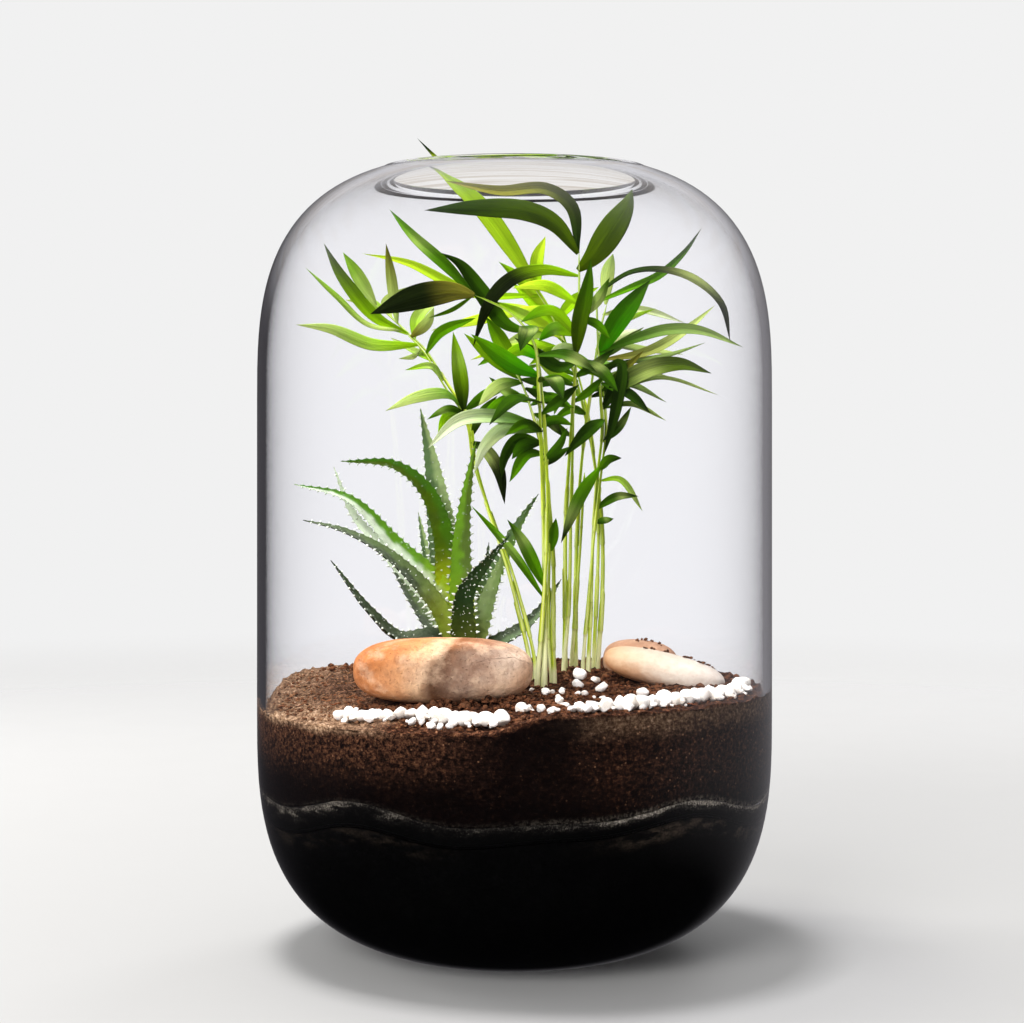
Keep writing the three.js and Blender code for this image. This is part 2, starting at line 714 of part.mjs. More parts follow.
        tilt: 5,
      },
      { at: 181, through: [[14, 183.4, -5], [20.5, 182, -8]], width: 4.4, tilt: 40 },
      { at: 172, through: [[4.2, 171.5, -6], [-1.8, 162, -10]], width: 4, tilt: 20 },
      { at: 138, through: [[14.6, 149.5, -5]], width: 3.6, tilt: 10 },
      { at: 202, through: [[-5.4, 206, 0], [-13, 203, 2]], width: 4.6, tilt: 45 },
      { at: 202, through: [[-4.6, 211, -4], [-10, 220.4, -3]], width: 5.6, tilt: 20 },
      { at: 192, through: [[-3.6, 190.2, 2], [-12, 184.6, 3]], width: 5, tilt: 40 },
    ],
  },
  palm_rear: {
    base: [29.5, 24],
    radii: [2, 0.8],
    route: [
      [30, 120.5, 25],
      [30.4, 141.6, 27],
      [29, 162.7, 30],
      [25.8, 183.8, 34],
      [21.3, 201.4, 38],
      [16, 215.5, 40],
      [10.7, 226, 39],
      [6.2, 232.3, 37],
    ],
    leaflets: [
      {
        at: 232,
        through: [[-1.6, 245.4, 31], [-12.8, 261.2, 22], [-23.4, 271.6, 13], [-34.3, 283, 6]],
        width: 7.4,
        tilt: 20,
      },
      {
        at: 230,
        through: [[-14.2, 228.4, 39], [-37.8, 239.7, 34], [-54.3, 243.6, 30]],
        width: 4.8,
        tilt: 35,
      },
      { at: 226, through: [[-8.6, 219.7, 44], [-29.7, 215.5, 48]], width: 5.6, tilt: 40 },
      { at: 220, through: [[21.3, 226, 46], [30, 231.3, 52]], width: 5, tilt: 40 },
      { at: 217, through: [[5, 222, 54], [-10, 226, 68]], width: 6, tilt: 65 },
      { at: 209, through: [[1.9, 210.2, 46], [-15.6, 205, 50]], width: 5.6, tilt: 45 },
      { at: 204, through: [[19, 206, 55], [20, 202, 72]], width: 6, tilt: 80 },
      { at: 192, through: [[18, 193.7, 48], [14, 185.6, 62]], width: 5.4, tilt: 60 },
      { at: 232, through: [[8, 241, 43], [11, 250, 48]], width: 5, tilt: 30 },
      { at: 214, through: [[4, 220, 36], [-7, 226, 31]], width: 5.6, tilt: 30 },
      { at: 212, through: [[10, 222, 47], [-1, 233, 54]], width: 6, tilt: 30 },
      { at: 200, through: [[9, 203, 52], [0, 198, 64]], width: 6, tilt: 75 },
    ],
  },
  palm_rear_right: {
    base: [21.5, 25],
    radii: [1.9, 0.8],
    route: [
      [22.2, 134.6, 24],
      [24, 166.2, 21],
      [26.5, 190.9, 20],
      [30, 215.5, 22],
      [32.5, 226, 24],
    ],
    leaflets: [
      { at: 222, through: [[44.1, 222.5, 32], [60.5, 218.3, 37]], width: 5, tilt: 50 },
      { at: 212, through: [[44, 208.4, 33], [60, 207, 41]], width: 5.6, tilt: 55 },
      { at: 226, through: [[33, 236, 31], [35, 243.5, 40]], width: 5, tilt: 40 },
      { at: 201, through: [[34, 204, 38], [33, 200, 56]], width: 6, tilt: 80 },
      { at: 209, through: [[39, 214, 40], [45, 216, 56]], width: 5.6, tilt: 70 },
      { at: 194, through: [[40, 196, 30], [54, 190, 38]], width: 4.6, tilt: 50 },
    ],
  },
};

// A leaflet's half width as shares of its full width, at shares of its length.
const BLADE_OUTLINE = [[0, 0.12], [0.14, 0.3], [0.34, 0.48], [0.56, 0.49], [0.75, 0.35], [0.9, 0.16]];

function leaflet(start, { through, width, tilt }) {
  const curve = new THREE.CatmullRomCurve3([start, ...through.map(seen)], false, "centripetal");
  const rings = BLADE_OUTLINE.map(([along, share]) => {
    const [across, up] = frameAt(curve.getTangentAt(along), facing(tilt));
    const half = share * width;
    const rib = lerp(RIB, TIP_RIB, along) / 2;
    const corners = [[half, FOLD * half], [0, rib], [-half, FOLD * half], [0, -rib]];
    return ringAt(curve.getPointAt(along), across, up, corners);
  });
  rings.push([curve.getPointAt(1)]);
  return solid(skin(rings));
}

// The point of a rising curve at a height.
function pointAtHeight(curve, height) {
  let low = 0;
  let high = 1;
  for (let i = 0; i < 24; i++) {
    const middle = (low + high) / 2;
    if (curve.getPointAt(middle).z < height) low = middle;
    else high = middle;
  }
  return curve.getPointAt(low);
}

function palmCane({ base: [x, y], radii, route, leaflets }) {
  const foot = new THREE.Vector3(x, y, soilTop(x, y) + CANE_FOOT_RISE);
  const curve = new THREE.CatmullRomCurve3([foot, ...route.map(seen)], false, "centripetal");
  const side = new THREE.Vector3(1, 0, 0);
  const around = Array.from({ length: CANE_SIDES }, (_, k) => (2 * Math.PI * k) / CANE_SIDES);
  const ring = (centre, tangent, radius) => {
    const up = new THREE.Vector3().crossVectors(tangent, side).normalize();
    const across = new THREE.Vector3().crossVectors(up, tangent).normalize();
    const corners = around.map((angle) => [radius * Math.cos(angle), radius * Math.sin(angle)]);
    return ringAt(centre, across, up, corners);
  };
  const upright = new THREE.Vector3(0, 0, 1);
  const rings = [ring(new THREE.Vector3(x, y, ROOT_DEPTH), upright, radii[0])];
  for (let i = 0; i <= CANE_STEPS; i++) {
    const along = i / CANE_STEPS;
    const tangent = i === 0 ? upright : curve.getTangentAt(along);
    rings.push(ring(curve.getPointAt(along), tangent, lerp(radii[0], radii[1], along)));
  }
  const blades = leaflets.map((item) => leaflet(pointAtHeight(curve, item.at), item));
  return joined([solid(skin(rings)), ...blades]);
}

// The soil, with a plain hole for each stem and a hollow for each stone.
function pottingSoil() {
  const sides = [0, 0.5, 1].map((level) => [1, level]);
  const surface = GROUND_RINGS.map((share) => [share, 1]);
  const profile = [[0, 0], [0.5, 0], ...sides, ...surface, [0, 1]];
  const soil = layer(profile, (x, y) => sandTop(x, y) + LAYER_GAP, soilTop);
  const hole = (x, y, radius, corners) => {
    const clear = (radius + GAP) / Math.cos(Math.PI / corners);
    const shaft = new THREE.CylinderGeometry(clear, clear, JAR_RADIUS, corners);
    shaft.rotateX(Math.PI / 2).translate(x, y, ROOT_DEPTH - GAP + JAR_RADIUS / 2);
    return solid(shaft);
  };
  const holes = Object.values(PALM).map(({ base: [x, y], radii }) => hole(x, y, radii[0], CANE_SIDES));
  holes.push(hole(...ALOE_CENTRE, ALOE_CORE_RADIUS, ALOE_CORE_SIDES));
  const hollows = Object.values(STONES).map((item) => stone({ ...item, grow: GAP + 0.1 }));
  return soil.subtract(wasm.Manifold.union([...holes, ...hollows])).simplify(FACET_TOLERANCE);
}

const plain = (color, roughness) => new THREE.MeshStandardMaterial({ color, roughness, metalness: 0 });
const glass = plain(0xdfe3ea, 0.05);
glass.transparent = true;
glass.opacity = 0.25;
const gravelStone = plain(0x111112, 0.6);
const greySand = plain(0x5b5a58, 0.95);
const darkSoil = plain(0x3a2318, 0.95);
const tanStone = plain(0xb98a63, 0.7);
const paleStone = plain(0xdcc3a2, 0.65);
const whiteStone = plain(0xf2efe9, 0.6);
const aloeGreen = plain(0x5f7f5a, 0.5);
const palmGreen = plain(0x5f9a1f, 0.45);

const soil = pottingSoil();
const terrarium = new THREE.Group();
terrarium.add(
  meshOf("glass_jar", glassJar(), glass),
  meshOf("drainage_gravel", drainageGravel(), gravelStone),
  meshOf("sand_layer", sandLayer(), greySand),
  meshOf("potting_soil", soil, darkSoil),
);
for (const [name, item] of Object.entries(STONES)) {
  terrarium.add(meshOf(name, stone(item), name === "stone_right" ? paleStone : tanStone));
}
const random = randomRow(PEBBLE_SEED);
for (const [name, row] of Object.entries(PEBBLE_ROWS)) {
  const pebbles = row.flatMap((part) => pebbleRow(soil, part, random));
  terrarium.add(meshOf(name, joined(pebbles), whiteStone));
}
SINGLE_PEBBLES.forEach(([x, y, radius], i) => {
  terrarium.add(meshOf(`pebble_${i + 1}`, pebble(soil, x, y, radius, random), whiteStone));
});
terrarium.add(meshOf("aloe", aloe(), aloeGreen));
for (const [name, cane] of Object.entries(PALM)) {
  terrarium.add(meshOf(name, palmCane(cane), palmGreen));
}

export default terrarium;
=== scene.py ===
import math

import bmesh
import bpy
from mathutils import Euler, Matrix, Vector, noise
from mathutils.bvhtree import BVHTree


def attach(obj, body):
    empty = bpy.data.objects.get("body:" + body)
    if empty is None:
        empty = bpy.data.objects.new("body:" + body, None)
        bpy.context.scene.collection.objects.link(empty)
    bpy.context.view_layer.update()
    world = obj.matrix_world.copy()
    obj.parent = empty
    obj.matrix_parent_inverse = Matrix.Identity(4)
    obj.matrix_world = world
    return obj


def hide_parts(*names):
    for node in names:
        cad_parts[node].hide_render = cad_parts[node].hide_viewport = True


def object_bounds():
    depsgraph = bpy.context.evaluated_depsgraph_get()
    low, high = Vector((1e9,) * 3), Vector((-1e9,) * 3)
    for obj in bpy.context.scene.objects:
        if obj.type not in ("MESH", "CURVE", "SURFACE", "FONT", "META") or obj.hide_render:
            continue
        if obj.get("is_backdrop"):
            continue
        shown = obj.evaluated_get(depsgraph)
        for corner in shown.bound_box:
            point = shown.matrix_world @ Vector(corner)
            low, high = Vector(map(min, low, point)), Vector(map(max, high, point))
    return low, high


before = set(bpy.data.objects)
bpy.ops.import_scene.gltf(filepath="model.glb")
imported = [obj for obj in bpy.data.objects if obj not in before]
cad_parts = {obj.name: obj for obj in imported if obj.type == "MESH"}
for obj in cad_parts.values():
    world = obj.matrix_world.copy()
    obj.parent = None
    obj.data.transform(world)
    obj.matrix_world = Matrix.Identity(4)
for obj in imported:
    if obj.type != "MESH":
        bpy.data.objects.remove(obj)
CAD_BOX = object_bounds()

# Lengths in the tables are in millimetres, as in the part. Pieces are scaled to metres at the
# end, and materials work in metres.
METRES = 0.001

# The jar
JAR_RADIUS = 90
JAR_HEIGHT = 272.5
WALL = 3
FLOOR_THICKNESS = 5.5
LOWER_SHOULDER = 82
UPPER_SHOULDER = 191
SHOULDER_REACH = 85
SHOULDER_POWER = 3
MOUTH_RADIUS = 43
LIP_RADIUS = 2.3
LIP_REACH = 1.6
LIP_STEP = 0.6
JAR_STEPS = 144
SHOULDER_STEPS = 26

# What lies in the jar, and the gaps below each layer
FILL_INSET = 2.93
GRAVEL_GAP = 0.3
SAND_GAP = 0.03
SOIL_GAP = 0.18
SAND_HEIGHT = 57.8
SAND_WAVE = 2.6
SAND_THICKNESS = 4.5
GRAVEL_DROP = 1.4
GRAVEL_WAVE = 1.8
SOIL_HEIGHT = 90.5
SOIL_DIP = 5
SOIL_SLANT = 0.6
ROOT_DEPTH = 77
# Heaps in the soil: x, y, radius and height
SOIL_HEAPS = [(20, 20, 15, 3.3), (-66, 30, 20, 2.6)]

# The eye that saw the plants, level and in front
EYE_DISTANCE = 809
EYE_HEIGHT = 185.6
FOCAL_PIXELS = 2300.9
IMAGE_SIZE = (1024, 1023)
AXIS_COLUMN = 514.5
HORIZON_ROW = 415

# Stones: centre, half sizes, how square they are, turns about z and y, and the valley's depth
STONES = {
    "stone_front": ((-23.7, -40, 100.4), (29.8, 15, 10.9), 2.7, (0, 0), 2.6),
    "stone_right": ((53, 3, 95.6), (22, 13, 6.2), 2.4, (-4, 13), 0),
    "stone_rear": ((46.5, 33, 95.5), (14, 10, 8), 2.5, (10, 6), 0),
}
# The valley in a stone's front, in shares of its half width
VALLEY_WIDTH = 0.24
VALLEY_PLACE = -0.1
VALLEY_BEND = 0.3

# Rows of pebbles: angles from the front and distances from the axis, from first to last, and
# how many
PEBBLE_ROWS = {
    "pebbles_left": [((-45, -26), (80, 68), 8)],
    "pebbles_middle": [((-21, -3), (72, 80), 7), ((-11, -7), (73, 76), 2)],
    "pebbles_right": [((15, 76), (79, 80), 20), ((40, 62), (75.2, 75.8), 7)],
}
PEBBLE_RADII = (2.3, 2.9)
# Pebbles on their own: x, y and radius
SINGLE_PEBBLES = [
    (-46, -54, 2), (2, -66, 2.1), (16, -66, 1.8), (23.4, 3, 2.1),
    (28.6, -2, 2), (21.5, -13, 2), (30, -24, 2.1), (43, -38, 2.2),
]

# Small white chips: angles from the front, distances from the axis and how many
WHITE_CHIPS = [
    (-46, -4, 70, 83, 46), (8, 78, 76, 84, 90), (14, 40, 10, 60, 14), (-5, 16, 60, 78, 8),
]
CHIP_SIZES = (0.6, 1.7)

# Soil piled against the foot of the front stone: first and last x, the y of its edge, and how
# many crumbs
PILED_SOIL = [(-52, 4, -55, 90), (-50, -20, -56.5, 60)]

# Fibres in the soil: x and y of the middle, reach and how many
FIBRES = [
    (-30, -52, 26, 26), (12, -45, 26, 30), (40, -50, 24, 16), (34, -20, 16, 14),
    (-62, -20, 20, 12),
]
FIBRE_SHADES = [(122, 66, 40), (150, 98, 62), (70, 40, 26)]
FIBRE_RADII = (0.1, 0.24)

# Soil crumbs: how many lie loose and how far from the axis, how far a hollow without crumbs lies
# below the soil, and heaps on the stones and at the aloe's foot by place and reach
LOOSE_CRUMBS = 3400
CRUMB_REACH = 84
HOLLOW_DEPTH = 1.5
CRUMBS_IN_BATCH = 80
CRUMBS_IN_HEAP = 6
STONE_CRUMBS = [
    (48, 5, 5), (53, 7, 4), (62, 5, 4), (66, 3, 3), (70, 6, 3), (47, 30, 5), (52, 31, 4),
    (-12, -10, 6), (-22, -9, 6),
]
DAMP_SHADES = [(34, 21, 15), (58, 39, 28), (96, 66, 47), (22, 13, 9)]
DRY_SHADES = [(96, 70, 50), (140, 108, 78), (112, 84, 60), (60, 42, 30)]

# Seeds of the rows of random numbers
SEEDS = {"pebbles": 8, "pebble shapes": 9, "crumbs": 5, "fibres": 21, "aloe": 11, "palm": 3}

# The aloe: its core, and the teeth and prickles on its leaves
ALOE_CENTRE = (-17, -1)
ALOE_CORE_TOP = 101
ALOE_CORE_FOOT = 80
ALOE_CORE_RADII = (7.4, 5.8)
ALOE_ROOT_DROP = 4
ALOE_LEAF_ROOT = 4
TOOTH_PITCH = 2.9
TOOTH_HEIGHT = 1.35
TOOTH_RADIUS = 0.6
PRICKLE_ROWS = (-0.8, -0.35, 0.4, 0.82)
PRICKLE_HEIGHT = 0.945
PRICKLE_RADIUS = 0.4
# How close prickles stand, by the hue of the leaf's tip, and how yellow the leaf is at its heart,
# by the hue of its base
PRICKLES_PER_MM = {"ink": 1.5, "slate": 1.1}
OTHER_PRICKLES_PER_MM = 0.5
HEART_WARMTH = {"slate": 0.1, "frost": 0, "dusk": 0, "mist": 0.3, "sage": 0.3, "moss": 1}
OTHER_WARMTH = 0.75

# The palm: a leaflet's half width as shares of its full width, at shares of its length, and the
# canes
BLADE_OUTLINE = [
    (0, 0.1), (0.14, 0.3), (0.34, 0.48), (0.56, 0.49), (0.75, 0.35), (0.9, 0.15), (1, 0),
]
BLADE_FOLD = 0.34
BLADE_THICKNESS = (0.34, 0.16)
CANE_TIP_RADIUS = 0.8
CANE_TWIST = 5
CANE_BURIED = 0.05
NODES_APART = 26
NODE_HALF_WIDTH = 0.45
SHEATH_LENGTHS = (11, 24)
# Where along a leaflet the hue of its base gives way to some hues of its tip
HUE_CHANGES = {"ink": (0.84, 0.92), "deep": (0.05, 0.5)}
OTHER_HUE_CHANGE = (0.05, 0.95)

# The studio, in metres: lights by place, size, power and colour
FLOOR_RADIUS = 1.6
LIGHTS = {
    "top_light": ((-0.16, 0.08, 1.1), (0.22, 0.22), 20, (1, 0.985, 0.96)),
    "front_light": ((-0.4, -0.85, 0.62), (0.5, 0.5), 16, (1, 0.99, 0.97)),
    "back_light": ((0.5, 1.0, 0.75), (0.4, 0.4), 7, (1, 1, 1)),
    "left_light": ((-0.9, 0.45, 0.42), (0.2, 0.5), 7, (1, 0.98, 0.94)),
}
LIGHT_AIM = Vector((0, 0, 0.14))
SENSOR_WIDTH = 36

# Leaf hues as red, green and blue from 0 to 255, and how much light passes through
HUES = {
    "glow": ((216, 242, 58), 0.8),
    "lime": ((156, 206, 18), 0.7),
    "green": ((80, 134, 4), 0.5),
    "bright": ((48, 152, 2), 0.6),
    "mid": ((52, 92, 6), 0.33),
    "moss": ((64, 84, 0), 0.24),
    "dark": ((32, 54, 6), 0.12),
    "deep": ((20, 28, 8), 0.04),
    "olive": ((118, 112, 40), 0.3),
    "pale": ((206, 222, 136), 0.65),
    "grey": ((136, 158, 92), 0.45),
    # A near white that stands for painted highlights on leaflets
    "shine": ((226, 234, 200), 0.5),
    "cane_foot": ((254, 255, 198), 0.15),
    "sheath": ((206, 228, 84), 0.4),
    "cane": ((206, 224, 50), 0.4),
    "cane_top": ((140, 180, 26), 0.35),
    "slate": ((50, 64, 40), 0.08),
    # Used mostly for painted shade on the lower side and underside of aloe leaves
    "dusk": ((28, 38, 22), 0.02),
    "chalk": ((220, 228, 210), 0.45),
    "sage": ((100, 120, 62), 0.2),
    "frost": ((90, 112, 74), 0.2),
    "fresh": ((112, 156, 36), 0.45),
    "mist": ((160, 178, 122), 0.5),
    "leek": ((56, 108, 16), 0.3),
    "heart": ((206, 216, 30), 0.45),
    "ink": ((32, 58, 26), 0.04),
    "tooth": ((238, 244, 232), 0),
}

# Points of leaves and canes are x and z as the eye sees them, and the depth.

# Each aloe leaf: points through which it runs, width, tilt, the hues of its base and tip and the
# hue of its lower edge and underside. Dark ones such as dusk and ink stand for painted shade on the
# side that turns down; paler ones are the underside's own colour.
ALOE_LEAVES = [
    ([(-27, 108, -3), (-40, 107.6, -6), (-51, 117, -9), (-64.5, 134.6, -12)],
     9, 66, "dusk", "slate", "dusk"),
    ([(-27, 118, -2), (-43.8, 136, -4), (-60, 145, -6), (-74.4, 148.7, -6)],
     9.5, 56, "sage", "slate", "dusk"),
    ([(-26, 124, 4), (-42, 140, 5), (-58, 156, 4), (-78, 161.3, 2)],
     10, 40, "fresh", "leek", "chalk"),
    ([(-28, 119, 10), (-44, 136, 15), (-57, 151, 18), (-64, 167.5, 18)],
     8.5, 40, "slate", "chalk", "chalk"),
    ([(-22.7, 121, 4), (-24.6, 142, 8), (-31, 159, 10), (-42, 168, 10), (-61.4, 169.4, 9)],
     11, 10, "moss", "leek", "moss"),
    ([(-21, 121, 9), (-25.5, 146, 15), (-29, 168, 18), (-33.2, 188, 19)],
     17, 0, "mist", "mist", "frost"),
    ([(-18.6, 122, 1), (-18.4, 144, -1), (-16.2, 162, -3), (-13.5, 176.5, -4)],
     10, 10, "sage", "moss", "fresh"),
    ([(-25, 112, 16), (-30, 132, 23), (-34, 151.5, 27)], 8.5, 20, "mist", "mist", "frost"),
    ([(-18, 112, -9), (-17, 124, -16), (-9, 135, -23), (-1.6, 143.5, -28)],
     9.6, -35, "slate", "ink", "ink"),
    ([(-12, 119, 7), (-3.5, 138, 12), (2.5, 149, 15), (8.5, 158, 17)],
     10, 15, "fresh", "slate", "frost"),
    ([(-13, 110, 2), (-7.5, 127, 3), (-2, 140.5, 3)], 8.5, 0, "mist", "sage", "mist"),
    ([(-8, 104.5, 3), (3, 111, 5), (11.5, 120, 8), (16.5, 128, 10)],
     8, 60, "frost", "slate", "dusk"),
    ([(-27, 108, 20), (-38, 124, 31), (-47, 140, 38)], 9, 75, "sage", "slate", "dusk"),
    ([(-14, 108, 18), (-11, 124, 33), (-9, 141, 42)], 9, 80, "sage", "slate", "dusk"),
]

# Each cane: where it stands, its radius at the foot and the points through which it runs
CANES = {
    "palm_main": ((18, 18), 2.1, [
        (18.5, 120.5, 16), (18.8, 148.7, 13), (19.9, 173.3, 10), (20.9, 194.4, 7), (22, 215.5, 4),
        (22.3, 233, 2), (22.3, 244.5, 0),
    ]),
    "palm_right": ((25.6, 15), 1.7, [
        (26.5, 120.5, 14), (28, 145.2, 13), (30, 166.3, 13), (31.5, 180.3, 13), (30.8, 192.6, 13),
        (29.7, 208.4, 13), (29, 222.5, 13), (28.7, 230.2, 13),
    ]),
    "palm_left": ((6.5, 2), 1.7, [
        (5.8, 101.2, 1), (-1.6, 130.7, 0), (-6.2, 144.1, 2), (-13.9, 168.4, 8), (-16.3, 183.8, 13),
        (-24.1, 196.1, 17), (-31.8, 208.4, 21), (-37.8, 214.4, 24), (-45.5, 221.8, 27),
        (-52.6, 227.4, 29),
    ]),
    "palm_near": ((9.2, -10), 2.3, [
        (10, 106.5, -10.5), (10.7, 134.6, -11), (10.7, 155.7, -12), (10, 176.8, -14),
        (9, 194.4, -16), (6.5, 212, -19), (-1.6, 221.8, -22), (-10.4, 226.4, -25),
        (-14.2, 227.8, -26),
    ]),
    "palm_middle": ((13.5, -2), 2, [
        (12.8, 106.5, -2.5), (13, 134.6, -2.5), (12.1, 155.7, -2), (10, 173.3, -2),
        (6.9, 185.6, -3), (3.3, 196.1, -4), (-0.9, 203.2, -5),
    ]),
    "palm_rear": ((29.5, 24), 2, [
        (30, 120.5, 25), (30.4, 141.6, 27), (29, 162.7, 30), (25.8, 183.8, 34), (21.3, 201.4, 38),
        (16, 215.5, 40), (10.7, 226, 39), (6.2, 232.3, 37),
    ]),
    "palm_rear_right": ((21.5, 25), 1.9, [
        (22.2, 134.6, 24), (24, 166.2, 21), (26.5, 190.9, 20), (30, 215.5, 22), (32.5, 226, 24),
    ]),
}

